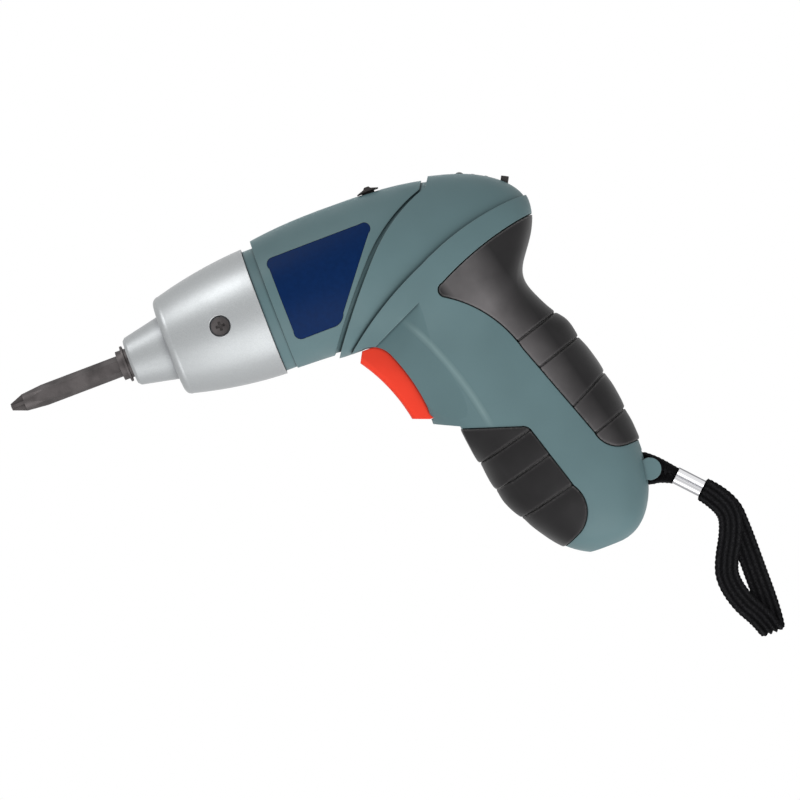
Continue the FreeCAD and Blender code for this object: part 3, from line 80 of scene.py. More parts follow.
camera_data = bpy.data.cameras.new("side_camera")
camera_data.lens = LENS
picture_width = PICTURE_PIXELS * MM_PER_PIXEL * MM
camera_distance = picture_width * LENS / camera_data.sensor_width
right = Vector((np.cos(PICTURE_ROLL), 0, -np.sin(PICTURE_ROLL)))
up = Vector((np.sin(PICTURE_ROLL), 0, np.cos(PICTURE_ROLL)))
back = Vector((0, -1, 0))
camera = bpy.data.objects.new("side_camera", camera_data)
turn = Matrix((right, up, back)).transposed().to_4x4()
place = Vector((PICTURE_MIDDLE[0] * MM, -camera_distance, PICTURE_MIDDLE[1] * MM))
camera.matrix_world = Matrix.Translation(place) @ turn
bpy.context.scene.collection.objects.link(camera)
bpy.context.scene.camera = camera
print("camera", round(camera_distance, 3), "m away")

# %% [markdown]
# The wrist strap is a flat braided cord. It could be a bevelled curve, but a bevel has no weave, so
# a flat oval section is carried along a smooth line instead. The line is a NURBS spline whose
# control points are the route's points, read back as a chain of points with no bevel.

# %% Smooth strap line
LINE_ORDER = 3
LINE_STEPS = 40
WRIST_ROUTE = [
    (42.6, 1.75, -48.9), (49.6, 1.75, -55.9), (50.1, 1.75, -67.7), (49.9, 1.75, -80.7),
    (49.8, 2.1, -93.8), (49.0, 2.6, -102.4), (47.8, -2.6, -102.8), (45.7, -2.1, -96.5),
    (41.7, -1.75, -89.6), (39.8, -1.75, -80.5), (42.0, -1.75, -74.4), (46.5, -1.75, -66.9),
    (48.8, -1.75, -59.8), (45.6, -1.75, -52.7), (42.6, -1.75, -48.9),
]
LUG_ROUTE = [
    (38.1, 0, -42.0), (33.5, 0, -36.3), (30.4, 0, -33.2), (27.3, 0, -30.8), (23.6, 0, -33.2),
    (23.3, 0, -37.6), (26.6, 0, -40.6), (31.0, 0, -40.9), (35.7, 0, -43.5),
]


def strap_line(name, route):
    """Points along the smooth line of a route: a NURBS spline of order 3 with the route's points, in
    millimetres, as its control points."""
    curve = bpy.data.curves.new(name, "CURVE")
    curve.dimensions = "3D"
    curve.resolution_u = LINE_STEPS
    spline = curve.splines.new("NURBS")
    spline.points.add(len(route) - 1)
    places = np.column_stack([np.array(route) * MM, np.ones(len(route))])
    spline.points.foreach_set("co", places.ravel())
    spline.order_u = LINE_ORDER
    spline.use_endpoint_u = True
    holder = bpy.data.objects.new(name, curve)
    mesh = bpy.data.meshes.new_from_object(holder)
    points = np.empty(len(mesh.vertices) * 3)
    mesh.vertices.foreach_get("co", points)
    bpy.data.meshes.remove(mesh)
    bpy.data.curves.remove(curve)
    return points.reshape(-1, 3)


wrist_line = strap_line("wrist_line", WRIST_ROUTE)
lug_line = strap_line("lug_line", LUG_ROUTE)
for name, line in (("wrist loop", wrist_line), ("lug loop", lug_line)):
    print(name, round(np.linalg.norm(np.diff(line, axis=0), axis=1).sum() * 1000, 1), "mm long")

# %% [markdown]
# A braid is made of yarn bundles that run round the strap on two slants and pass over and under
# each other, and this one has four soft ribs along its length. Bundles and ribs stand out by a few
# tenths of a millimetre, which shows against the white background, so they are made in the mesh
# and not only in the shading.

# %% Braid relief
YARN_PITCH = 1.55 * MM
YARN_FULLNESS = 0.6
YARN_END_SHARE = 0.45
RIB_PITCH = 2.0 * MM


def braid_height(around, along):
    """Height of the braid from 0 to 1. Of the two slanting bundles the one on top is a half sine
    across itself, drawn out by a power, and a half sine along itself from its lower ends up. The
    pair swaps on a chequer of the two bundle numbers."""
    first, second = (around + along) / YARN_PITCH, (around - along) / YARN_PITCH
    on_top = (np.floor(first) + np.floor(second)) % 2 == 0
    crossing = np.where(on_top, first % 1, second % 1)
    length_on_top = np.where(on_top, second % 1, first % 1)
    crown = YARN_END_SHARE + (1 - YARN_END_SHARE) * np.sin(np.pi * length_on_top)
    return np.sin(np.pi * crossing) ** YARN_FULLNESS * crown


def rib_height(side):
    """Height of the lengthwise ribs from 0 to 1: a cosine across the width, low at the middle."""
    return 0.5 - 0.5 * np.cos(2 * np.pi * side / RIB_PITCH)


print("yarn", YARN_PITCH, "m and ribs", RIB_PITCH, "m apart")

# %% [markdown]
# The strap's section is a flat oval. An ellipse would be too thin at its two sides, so its corners
# are fuller. An even number of yarn bundles goes round it, so that the braid closes on itself.

# %% Strap section
BRAID_HALF_WIDTH = 4.1 * MM
BRAID_HALF_THICKNESS = 1.3 * MM
BRAID_CORNER = 0.75
BRAID_ROUND = 96


def rounded_power(wave, size):
    """A sine or cosine drawn out towards a box, as in a superellipse."""
    return np.sign(wave) * np.abs(wave) ** BRAID_CORNER * size


def oval_section():
    """The oval as angles, places to the side and up, and the way round it, which is stretched to
    the nearest even number of yarn bundles."""
    angle = np.linspace(0, 2 * np.pi, BRAID_ROUND, endpoint=False)
    side = rounded_power(np.cos(angle), BRAID_HALF_WIDTH)
    rise = rounded_power(np.sin(angle), BRAID_HALF_THICKNESS)
    ring = np.hypot(np.diff(side, append=side[:1]), np.diff(rise, append=rise[:1]))
    bundles = np.round(ring.sum() / (2 * YARN_PITCH)) * 2
    around = (np.cumsum(ring) - ring) / ring.sum() * bundles * YARN_PITCH
    return angle, side, rise, around


print("strap section", 2 * BRAID_HALF_WIDTH, "by", 2 * BRAID_HALF_THICKNESS, "m")

# %% [markdown]
# The surface is one grid: rows along the strap and columns round its oval. The mesh keeps two
# things for its finish: a UV map in yarn widths, because the threads follow each bundle, and the
# height of the ribs. Points that share a place, as at the strap's ends, are merged, so that the
# mesh is closed.

# %% Woven mesh
MERGE_DISTANCE = 0.001 * MM


def grid_faces(rows, columns):
    """Quads of a grid that closes on itself across its columns: each joins a point, its neighbour
    round the ring and the two below them."""
    row, column = np.meshgrid(np.arange(rows - 1), np.arange(columns), indexing="ij")
    after = (column + 1) % columns
    here, below = row * columns, (row + 1) * columns
    corners = [here + column, here + after, below + after, below + column]
    return np.stack(corners, axis=-1).reshape(-1, 4)


def merge_places(builder, mesh):
    """Joins the builder's points that lie on one place, and puts its faces into the mesh."""
    bmesh.ops.remove_doubles(builder, verts=builder.verts, dist=MERGE_DISTANCE)
    builder.to_mesh(mesh)
    builder.free()


def woven_mesh(name, points, around, along, ribs):
    """A smooth mesh of the grid of points. Its UV map is the way round and the way along, both
    divided by the width of a yarn bundle."""
    mesh = bpy.data.meshes.new(name)
    mesh.from_pydata(points.reshape(-1, 3), [], grid_faces(*ribs.shape)[:, ::-1])
    mesh.polygons.foreach_set("use_smooth", np.ones(len(mesh.polygons), bool))
    corner_points = np.empty(len(mesh.loops), int)
    mesh.loops.foreach_get("vertex_index", corner_points)
    strip = np.broadcast_arrays(around[None, :] / YARN_PITCH, along[:, None] / YARN_PITCH)
    strip = np.stack(strip, axis=-1).reshape(-1, 2)
    mesh.uv_layers.new(name="weave").uv.foreach_set("vector", strip[corner_points].ravel())
    rib = mesh.attributes.new("rib", "FLOAT", "POINT")
    rib.data.foreach_set("value", ribs.astype(np.float32).ravel())
    builder = bmesh.new()
    builder.from_mesh(mesh)
    merge_places(builder, mesh)
    return mesh


print("points closer than", MERGE_DISTANCE, "m are merged")

# %% [markdown]
# The section needs a direction for its width at every point of the line. A curve's own twist would
# turn the flat strap over, so one fixed direction is made square to the line instead. At the two
# ends the last rows close to a point inside the ferrule. Where the strap is folded the ribs are
# pushed together, and where the lug loop's two legs leave the ferrule they fill the room between.

# %% Strap surface
BRAID_RELIEF = 0.24 * MM
RIB_RELIEF = 0.4 * MM
BRAID_STEP = 0.2 * MM
BRAID_END = 1.0 * MM


def evenly(line, step):
    """The same line with its points a step apart: each coordinate is interpolated over the length
    that the line has run so far."""
    run = np.concatenate([[0], np.cumsum(np.linalg.norm(np.diff(line, axis=0), axis=1))])
    at = np.linspace(0, run[-1], int(run[-1] / step) + 1)
    return np.stack([np.interp(at, run, axis) for axis in line.T], axis=1), at


def braid(name, line, across, pleat, inner_thickness):
    """A flat oval carried along the line. Its width lies along the part of the across direction
    that is square to the line. Each point is moved out along the oval's normal by the braid and by
    the ribs, which the pleat deepens, and the inner half of the oval has a thickness of its own."""
    middle, along = evenly(line, BRAID_STEP)
    ahead = np.gradient(middle, axis=0)
    ahead /= np.linalg.norm(ahead, axis=1, keepdims=True)
    wide = np.array(across) - (ahead @ np.array(across))[:, None] * ahead
    wide /= np.linalg.norm(wide, axis=1, keepdims=True)
    flat = np.cross(wide, ahead)
    angle, side, rise, around = oval_section()
    relief = BRAID_RELIEF * (braid_height(around[None, :], along[:, None]) - 1)
    relief = relief + RIB_RELIEF * pleat(along)[:, None] * (rib_height(side) - 1) * np.abs(np.sin(angle))
    side, rise = side + relief * np.cos(angle), rise + relief * np.sin(angle)
    inner = inner_thickness(middle, along)[:, None] / BRAID_HALF_THICKNESS
    rise = np.where(rise < 0, rise * inner, rise)
    close = np.sqrt(np.clip(np.minimum(along, along[-1] - along) / BRAID_END, 0, 1))[:, None, None]
    offset = side[..., None] * wide[:, None] + rise[..., None] * flat[:, None]
    points = middle[:, None] + close * offset
    piece = bpy.data.objects.new(name, woven_mesh(name, points, around, along, rib_height(side)))
    bpy.context.scene.collection.objects.link(piece)
    print(name, len(piece.data.polygons), "faces")
    return piece, middle


print("a row of points every", BRAID_STEP, "m")

# %% [markdown]
# The wrist loop has its fold half way, so its ribs are deepest there. The lug loop's inner side
# reaches to the line from the ferrule to the middle of the ear, over the first stretch of each leg.

# %% Wrist loop and lug loop
FOLD_LENGTH = 5.0 * MM
FOLD_PLEAT = 1.6
LEG_LENGTH = 8.0 * MM
EAR_MIDDLE = np.array([28.3, 0, -36.3]) * MM
FERRULE_MOUTH = np.array([35.7, 0, -41.3]) * MM
EAR_THICKNESS = 2.6 * MM
LEG_FILL = 1.5
LEG_FADE = 3.0


def folded(along):
    """Rib depth of the wrist loop: one bell curve about the middle of its length."""
    return 1 + FOLD_PLEAT * np.exp(-(((along - along[-1] / 2) / FOLD_LENGTH) ** 2))


def even(along):
    """Rib depth of the lug loop: the same all along."""
    return np.ones(len(along))


def flat_strap(middle, along):
    """Inner thickness of the wrist loop: the same as the outer one."""
    return np.full(len(along), BRAID_HALF_THICKNESS)


def filled_legs(middle, along):
    """Inner thickness of the lug loop: near its ends it reaches past the line from ferrule to ear,
    and round the ear it reaches in behind the ear's edge."""
    line = (EAR_MIDDLE - FERRULE_MOUTH) / np.linalg.norm(EAR_MIDDLE - FERRULE_MOUTH)
    away = np.linalg.norm(np.cross(middle - FERRULE_MOUTH, line), axis=1)
    from_end = np.minimum(along, along[-1] - along) / LEG_LENGTH
    fill = np.clip(LEG_FADE * (1 - from_end), 0, 1)
    return EAR_THICKNESS + fill * np.maximum(LEG_FILL * away - EAR_THICKNESS, 0)


wrist_strap, wrist_middle = braid("wrist_strap", wrist_line, (1, 0, 0), folded, flat_strap)
lug_strap, _ = braid("lug_strap", lug_line, (0, 1, 0), even, filled_legs)

# %% [markdown]
# The strap hangs from the tool's body and takes the place of the two CAD solids. The wrist loop
# leaves the metal ferrule and comes back into it, so both of its ends are on the object.

# %% Strap in its place
for piece, node in ((wrist_strap, "wrist_loop"), (lug_strap, "lug_loop")):
    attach(piece, "tool")
    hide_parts(node)

# %% [markdown]
# A grip is a rubber pad moulded over each half of the housing, with square slots in CAD. Rubber
# comes out of its mould with round edges and swells between its grooves, which shows in its
# outline, so a bump in the finish isn't enough. The two CAD pads of a grip are copied into one
# mesh, which is remeshed into small even faces and smoothed, and then pushed out by a formula.

# %% Even mesh from the two pads
GRIP_VOXEL = 0.27 * MM
ROUNDING_SHARE = 0.5
ROUNDING_TIMES = 8


def apply_modifiers(piece):
    """Gives the piece the mesh that its modifiers make, and takes the modifiers off."""
    shaped = piece.evaluated_get(bpy.context.evaluated_depsgraph_get())
    piece.data = bpy.data.meshes.new_from_object(shaped)
    piece.data.name = piece.name
    piece.modifiers.clear()


def joined_pads(name, nodes):
    """One mesh of small even faces from the pads of two nodes, with its edges rounded."""
    builder = bmesh.new()
    for node in nodes:
        builder.from_mesh(frame["nodes"][node].data)
    mesh = bpy.data.meshes.new(name)
    merge_places(builder, mesh)
    piece = bpy.data.objects.new(name, mesh)
    bpy.context.scene.collection.objects.link(piece)
    remesh = piece.modifiers.new("even_faces", "REMESH")
    remesh.mode, remesh.voxel_size = "VOXEL", GRIP_VOXEL
    smooth = piece.modifiers.new("round_edges", "SMOOTH")
    smooth.factor, smooth.iterations = ROUNDING_SHARE, ROUNDING_TIMES
    apply_modifiers(piece)
    return piece


rear_grip = joined_pads("rear_grip", ["rear_grip_left", "rear_grip_right"])
front_grip = joined_pads("front_grip", ["front_grip_left", "front_grip_right"])
for grip in (rear_grip, front_grip):
    print(grip.name, len(grip.data.polygons), "faces")

# %% [markdown]
# The grooves are straight lines in the side view, and the outline between them has broad bulges
# that fill a hand. Both could be drawn by hand in sculpt mode, but a formula of the distance below
# a groove gives the same pad each time. Above its first groove the rear pad is a saddle for the
# thumb's root, so the bulge there is a hollow.

# %% Grooves and bulges
REAR_GROOVES = [
    ((-0.3, 18.7), (26.0, 26.6)),
    ((3.8, 7.9), (28.0, 15.5)),
    ((10.4, -8.7), (32.1, 1.8)),
    ((15.4, -19.2), (34.1, -13.1)),
]
FRONT_GROOVES = [
    ((-32.6, -17.2), (0.2, -8.9)),
    ((-28.5, -27.3), (2.8, -19.2)),
    ((-24.5, -39.1), (5.8, -31.7)),
]
REAR_BULGES = [(4.0, 5.0, 0.9), (-17.0, 6.0, -0.8)]
FRONT_BULGES = [(12.0, 11.0, 1.0)]
PAD_HALF_WIDTH = 13.0 * MM


def below_grooves(points, grooves):
    """How far each point lies below each groove line in the side view, negative above it."""
    starts, ends = np.array(grooves).transpose(1, 0, 2) * MM
    along = (ends - starts) / np.linalg.norm(ends - starts, axis=1, keepdims=True)
    offset = points[:, None, [0, 2]] - starts
    return offset[..., 0] * along[:, 1] - offset[..., 1] * along[:, 0]


def bulge(points, below, bulges):
    """Outline of a hand's grip: for each bulge a bell curve of the distance below the first groove,
    with its middle, half length and height in millimetres, that sinks to nothing at the sides."""
    middle, half_length, height = np.array(bulges).T * MM
    bells = height * np.exp(-(((below[:, :1] - middle) / half_length) ** 2))
    return bells.sum(axis=1) * np.clip(1 - (points[:, 1] / PAD_HALF_WIDTH) ** 2, 0, 1)


print(len(REAR_GROOVES), "rear and", len(FRONT_GROOVES), "front grooves")

# %% [markdown]
# A point on the outside of the pad moves out by more the further it is from the nearest groove.
# The move could stop at the pad's border, but that would leave a step, so it is evened out over
# neighbouring points and fades towards the border.

# %% Swell between the grooves
HANDLE_LINE = np.array([(-7.1, 0, 11.8), (7.2, 0, -43.3)]) * MM
SWELL = 0.4 * MM
LOBE_HALF_LENGTH = 5.0 * MM
OUTER_LEAN = 0.45
FADE_ROUNDS = 14


def spread(height, edges):
    """Each point's height moved half way to the mean of its neighbours."""
    first, second = edges.T
    points = len(height)
    count = np.bincount(edges.ravel(), minlength=points)
    total = np.bincount(first, height[second], points) + np.bincount(second, height[first], points)
    return 0.5 * height + 0.5 * total / count


def swell(piece, grooves, bulges, top_lobe):
    """Moves outside points out along their normals by the bulges and by a quarter sine of the
    distance from the nearest groove. Above the first groove there is a lobe only with top_lobe."""
    mesh = piece.data
    points, normals = np.empty((2, len(mesh.vertices), 3))
    mesh.vertices.foreach_get("co", points.ravel())
    mesh.vertices.foreach_get("normal", normals.ravel())
    edges = np.empty((len(mesh.edges), 2), int)
    mesh.edges.foreach_get("vertices", edges.ravel())
    axis = (HANDLE_LINE[1] - HANDLE_LINE[0]) / np.linalg.norm(HANDLE_LINE[1] - HANDLE_LINE[0])
    outward = points - HANDLE_LINE[0]
    outward -= (outward @ axis)[:, None] * axis
    outward /= np.linalg.norm(outward, axis=1, keepdims=True)
    below = below_grooves(points, grooves)
    lobe = np.clip(np.abs(below).min(axis=1) / LOBE_HALF_LENGTH, 0, 1)
    lobe = np.where(top_lobe | (below[:, 0] > 0), lobe, 0)
    height = SWELL * np.sin(np.pi / 2 * lobe) + bulge(points, below, bulges)
    height *= (outward * normals).sum(axis=1) > OUTER_LEAN
    for _ in range(FADE_ROUNDS):
        height = spread(height, edges)
    mesh.vertices.foreach_set("co", (points + height[:, None] * normals).ravel())
    mesh.polygons.foreach_set("use_smooth", np.ones(len(mesh.polygons), bool))
    mesh.update()
    print(piece.name, "swells up to", round(height.max() * 1000, 2), "mm")


swell(rear_grip, REAR_GROOVES, REAR_BULGES, False)
swell(front_grip, FRONT_GROOVES, FRONT_BULGES, True)

# %% [markdown]
# The even mesh has far more faces than the broad lobes need. Coarser faces from the start would
# blur the grooves, so the flattest places are thinned out now, at the end, and the grooves stay.

# %% Fewer faces on the lobes
GRIP_TRIANGLES = 180_000

for grip in (rear_grip, front_grip):
    fewer = grip.modifiers.new("fewer_faces", "DECIMATE")
    fewer.ratio = GRIP_TRIANGLES / (2 * len(grip.data.polygons))
    apply_modifiers(grip)
    print(grip.name, len(grip.data.polygons), "faces left")
    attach(grip, "tool")
    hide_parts(grip.name + "_left", grip.name + "_right")

# %% [markdown]
# Every finish is a small tree of shader nodes. Written node by node such a tree is long and hard
# to read, so a socket is wrapped in a class whose operators add the Math nodes, and one method
# makes any other node from its type, its settings and its sockets.

# %% Shader maths
class Wire:
    """A shader socket that can be used in Python sums: each operator adds one Math node."""

    def __init__(self, nodes, socket):
        self.nodes, self.socket = nodes, socket

    def maths(self, operation, *values):
        """One Math node on wires and plain numbers."""
        return self.nodes.node("ShaderNodeMath", {"operation": operation}, dict(enumerate(values)))

    def __add__(self, other):
        return self.maths("ADD", self, other)

    def __sub__(self, other):
        return self.maths("SUBTRACT", self, other)

    def __rsub__(self, other):
        return self.maths("SUBTRACT", other, self)

    def __mul__(self, other):
        return self.maths("MULTIPLY", self, other)

    def __abs__(self):
        return self.maths("ABSOLUTE", self)

    def sine(self):
        return self.maths("SINE", self)

    __radd__, __rmul__ = __add__, __mul__


class Nodes:
    """A node tree with one method for making any node."""

    def __init__(self, tree):
        self.tree = tree

    def node(self, kind, settings, sockets, out=0):
        """A node of a kind, with its settings made first and then its sockets fed."""
        made = self.tree.nodes.new(kind)
        for setting, choice in settings.items():
            setattr(made, setting, choice)
        for key, given in sockets.items():
            self.feed(made.inputs[key], given)
        return Wire(self, made.outputs[out])

    def feed(self, socket, given):
        """Links a wire to a socket, or sets the socket to a plain value."""
        if isinstance(given, Wire):
            self.tree.links.new(given.socket, socket)
        else:
            socket.default_value = given

    def between(self, given, low, high, start=0.0, end=1.0):
        """The value moved from the range low to high into the range start to end."""
        limits = {"From Min": low, "From Max": high, "To Min": start, "To Max": end}
        return self.node("ShaderNodeMapRange", {}, {"Value": given, **limits})


print("shader maths ready")

# %% [markdown]
# A finish is such a tree with a Principled shader. The Bevel node lends a sharp CAD edge the round look
# of a moulded one, and the Ambient Occlusion node finds the hollows where light doesn't reach, which
# several finishes paint darker as shade. Both follow the shape itself, so they hold from every side.

# %% Finish of a surface
SHAPE_SAMPLES = 6
HOLLOW_LIGHT, OPEN_LIGHT = 0.45, 0.95


class Finish(Nodes):
    """A procedural finish: a Principled shader and the nodes that feed it."""

    def __init__(self, name, **constants):
        self.material = bpy.data.materials.new(name)
        self.material.use_nodes = True
        super().__init__(self.material.node_tree)
        self.shader = self.tree.nodes["Principled BSDF"]
        self.surface(**constants)

    def surface(self, **sockets):
        """Feeds the shader: base_color becomes Base Color, and so on."""
        for socket, given in sockets.items():
            title = socket.replace("_", " ").title().replace("Ior", "IOR")
            self.feed(self.shader.inputs[title], given)
        return self.material

    def places(self):
        """Where a point of the surface lies on the object, in metres."""
        return self.node("ShaderNodeTexCoord", {}, {}, "Object")

    def noise(self, scale, detail=2.0, vector=None):
        """Smooth noise with about this many waves in a metre, or in a unit of another vector."""
        coordinates = self.places() if vector is None else vector
        sockets = {"Vector": coordinates, "Scale": scale, "Detail": detail}
        return self.node("ShaderNodeTexNoise", {}, sockets)

    def stretched(self, scales):
        """The place with each coordinate times its own scale."""
        sockets = {0: self.places(), 1: scales}
        return self.node("ShaderNodeVectorMath", {"operation": "MULTIPLY"}, sockets)

    def lean(self, first, second):
        """The dot product of two vectors."""
        sockets = {0: first, 1: second}
        return self.node("ShaderNodeVectorMath", {"operation": "DOT_PRODUCT"}, sockets, "Value")

    def part_of(self, vector, axis):
        """One coordinate of a vector."""
        return self.node("ShaderNodeSeparateXYZ", {}, {"Vector": vector}, axis)

    def mix(self, share, first, second):
        """The first colour where the share is 0, and the second where it is 1."""
        return self.node("ShaderNodeMix", {"data_type": "RGBA"}, {0: share, 6: first, 7: second}, 2)

    def soft_edges(self, radius):
        """The normal that the surface would have if its edges were rounded to the radius."""
        return self.node("ShaderNodeBevel", {"samples": SHAPE_SAMPLES}, {"Radius": radius})

    def open_places(self, reach):
        """1 on an open face, falling to 0 in a groove or a corner narrower than the reach."""
        settings = {"samples": SHAPE_SAMPLES}
        light = self.node("ShaderNodeAmbientOcclusion", settings, {"Distance": reach}, "AO")
        return self.between(light, HOLLOW_LIGHT, OPEN_LIGHT)

    def edges(self, rounded, flat=0.97, sharp=0.75):
        """How far the rounded normal leans from the real one: 0 on a flat face, 1 beside an edge."""
        real = self.node("ShaderNodeNewGeometry", {}, {}, "Normal")
        return self.between(self.lean(rounded, real), flat, sharp)

    def bump(self, height, depth, normal=None):
        """The normal of a surface that stands out by the height times the depth."""
        sockets = {"Height": height, "Distance": depth, "Strength": 1.0}
        if normal:
            sockets["Normal"] = normal
        return self.node("ShaderNodeBump", {}, sockets)


print("a finish looks at its shape with", SHAPE_SAMPLES, "samples")

# %% [markdown]
# Colours are easiest to compare with a photograph as a screen shows them, but shaders work in
# linear light, so each colour is written the first way and turned into the second.

# %% Screen colours
def paint(red, green, blue):
    """A screen colour from 0 to 255 as linear light: a straight line near black, and above it the
    shifted share to the power of 2.4."""
    share = np.array([red, green, blue]) / 255
    linear = np.where(share <= 0.04045, share / 12.92, ((share + 0.055) / 1.055) ** 2.4)
    return (*linear.tolist(), 1.0)


print("mid grey is", round(paint(128, 128, 128)[0], 3))

# %% [markdown]
# On the housing a soft crest runs down from the head to the trigger, where the cheek turns into the side
# of the handle. It could be a solid form, but it is too low to change the outline, so it is a bump along
# an arc, and along it the colour is painted paler as a highlight.

# %% Crest of the cheek
CREST_MIDDLE = (-134.8 * MM, 0.0, -18.9 * MM)
CREST_RADIUS = 118.6 * MM
CREST_HALF_WIDTH = 1.5 * MM
CREST_FROM, CREST_TO, CREST_FADE = -6.0 * MM, 42.0 * MM, 8.0 * MM
CREST_HEIGHT = 0.3 * MM


def cheek_crest(finish):
    """1 on an arc in the side view, falling to 0 beside it and at both of its ends."""
    side_view = finish.stretched((1.0, 0.0, 1.0))
    sockets = {0: side_view, 1: CREST_MIDDLE}
    radius = finish.node("ShaderNodeVectorMath", {"operation": "DISTANCE"}, sockets, "Value")
    ridge = finish.between(abs(radius - CREST_RADIUS), CREST_HALF_WIDTH, 0.0)
    height = finish.part_of(side_view, "Z")
    low_end = finish.between(height, CREST_FROM, CREST_FROM + CREST_FADE)
    high_end = finish.between(height, CREST_TO, CREST_TO - CREST_FADE)
    return ridge * low_end * high_end


print("crest", CREST_HEIGHT, "m high")

# %% [markdown]
# The housing, the trigger and the small buttons are moulded plastic. Their pigment drifts a little over
# centimetres, and the mould leaves a fine grain like eggshell. Handling rubs the edges paler, and the
# same pale colour also serves as a painted highlight on the edges and along the cheek's crest. The
# grooves and hollows are painted darker as shade. One function makes all of them, since only the
# colours, the grain and the gloss differ. Noise keeps near one half, so the span that it uses is
# stretched to the whole range.

# %% Moulded plastic
NOISE_SPAN = (0.3, 0.7)
PIGMENT_SCALE = 45.0
PIGMENT_SHADE = 0.9
HOLLOW_SHADE_REACH = 1.0 * MM
EDGE_WEAR_AND_HIGHLIGHT, CREST_HIGHLIGHT = 0.5, 0.38
SHEEN_SCALE = 110.0
SHEEN_SPAN = (0.35, 0.65)
SHEEN_POLISH, SHEEN_DULL = 0.05, 0.06
GRAIN_SCALE = 2600.0


def moulded(name, colours, roughness, grain, round_off=0.3 * MM, crest=None):
    """Plastic of one pigment: the colour drifts with slow noise, pales beside open edges as wear and as
    a painted highlight, is painted darker in hollows as shade, and a fine noise is its grain. A crest
    stands out as a bump and is painted paler as a highlight."""
    colour, wear_and_highlight, hollow_shade = colours
    finish = Finish(name, specular_ior_level=0.22)
    rounded = finish.soft_edges(round_off)
    open_face = finish.open_places(HOLLOW_SHADE_REACH)
    drift = finish.between(finish.noise(PIGMENT_SCALE), *NOISE_SPAN)
    shade = tuple(PIGMENT_SHADE * part for part in colour[:3]) + (1.0,)
    body = finish.mix(drift, shade, colour)
    # Open edges turn pale as wear and as a painted highlight.
    body = finish.mix(finish.edges(rounded) * open_face * EDGE_WEAR_AND_HIGHLIGHT, body, wear_and_highlight)
    # A crest is a bump, and its colour is painted paler as a highlight.
    if crest:
        ridge = crest(finish)
        body = finish.mix(ridge * CREST_HIGHLIGHT, body, wear_and_highlight)
        rounded = finish.bump(ridge, CREST_HEIGHT, rounded)
    # The hollows and grooves are painted darker as shade.
    body = finish.mix(open_face, hollow_shade, body)
    sheen = finish.noise(SHEEN_SCALE, detail=4.0)
    gloss = finish.between(sheen, *SHEEN_SPAN, roughness - SHEEN_POLISH, roughness + SHEEN_DULL)
    speckle = finish.bump(finish.noise(GRAIN_SCALE), grain, rounded)
    return finish.surface(base_color=body, roughness=gloss, normal=speckle)


# Each set is the plastic's colour, the pale colour of worn edges and painted highlights, and the painted
# shade of its hollows.
TEAL = paint(98, 124, 128), paint(150, 174, 174), paint(56, 74, 78)
RED = paint(255, 68, 44), paint(255, 120, 80), paint(120, 24, 14)
BLACK = paint(64, 60, 59), paint(108, 104, 102), paint(24, 23, 23)
GREY = paint(58, 60, 64), paint(110, 112, 116), paint(20, 20, 22)
GREEN = paint(24, 92, 52), paint(120, 150, 90), paint(10, 34, 20)
SLEEVE = paint(58, 132, 92), paint(120, 170, 140), paint(20, 46, 32)
plastics = {
    "housing": moulded(
        "teal_plastic", TEAL, roughness=0.5, grain=0.012 * MM, round_off=0.45 * MM, crest=cheek_crest
    ),
    "trigger": moulded("red_plastic", RED, roughness=0.42, grain=0.01 * MM),
    "black_plastic": moulded(
        "black_plastic", BLACK, roughness=0.55, grain=0.004 * MM, round_off=0.1 * MM
    ),
    "case": moulded("gear_case_plastic", GREY, roughness=0.5, grain=0.015 * MM),
    "board": moulded("board_lacquer", GREEN, roughness=0.3, grain=0.006 * MM),
    "cell": moulded("battery_sleeve", SLEEVE, roughness=0.3, grain=0.004 * MM),
}
print(len(plastics), "plastics")

# %% [markdown]
# The grips are soft rubber. Rubber is rougher than the hard plastic and scatters light, so it looks dark
# grey rather than black, and hands leave it unevenly polished. On the flanks of the rear pad a grey
# highlight is painted into the colour, and it stops short of the back. The grooves are painted darker as
# shade, and their lips are painted paler as a highlight.
# The two halves meet in a fine parting line, which is a narrow band about the middle plane.

# %% Grip rubber
GROOVE_REACH = 2.0 * MM
HANDLED_SCALE = 60.0
HANDLED_SPAN = (0.35, 0.7)
BEHIND_HANDLE = (0.968, 0.0, 0.251)
FLANK_HIGHLIGHT_FROM, FLANK_HIGHLIGHT_FULL, FLANK_HIGHLIGHT_LOW, FLANK_HIGHLIGHT_END = -5.0 * MM, -2.0 * MM, 6.0 * MM, 17.0 * MM
FLANK_HIGHLIGHT_LEAST = 0.6
LIP_RADIUS = 1.0 * MM
LIP_LEAN = (0.995, 0.9)
LIP_OPEN = (0.1, 0.6)
LIP_HIGHLIGHT = 0.7
PARTING_EDGE = (0.08 * MM, 0.2 * MM)
PARTING_STEP = 3.0
STIPPLE_SCALE = 3200.0
STIPPLE_HEIGHT = 0.01 * MM
RUBBER_ROUGHNESS, HANDLED_POLISH = 0.48, 0.08


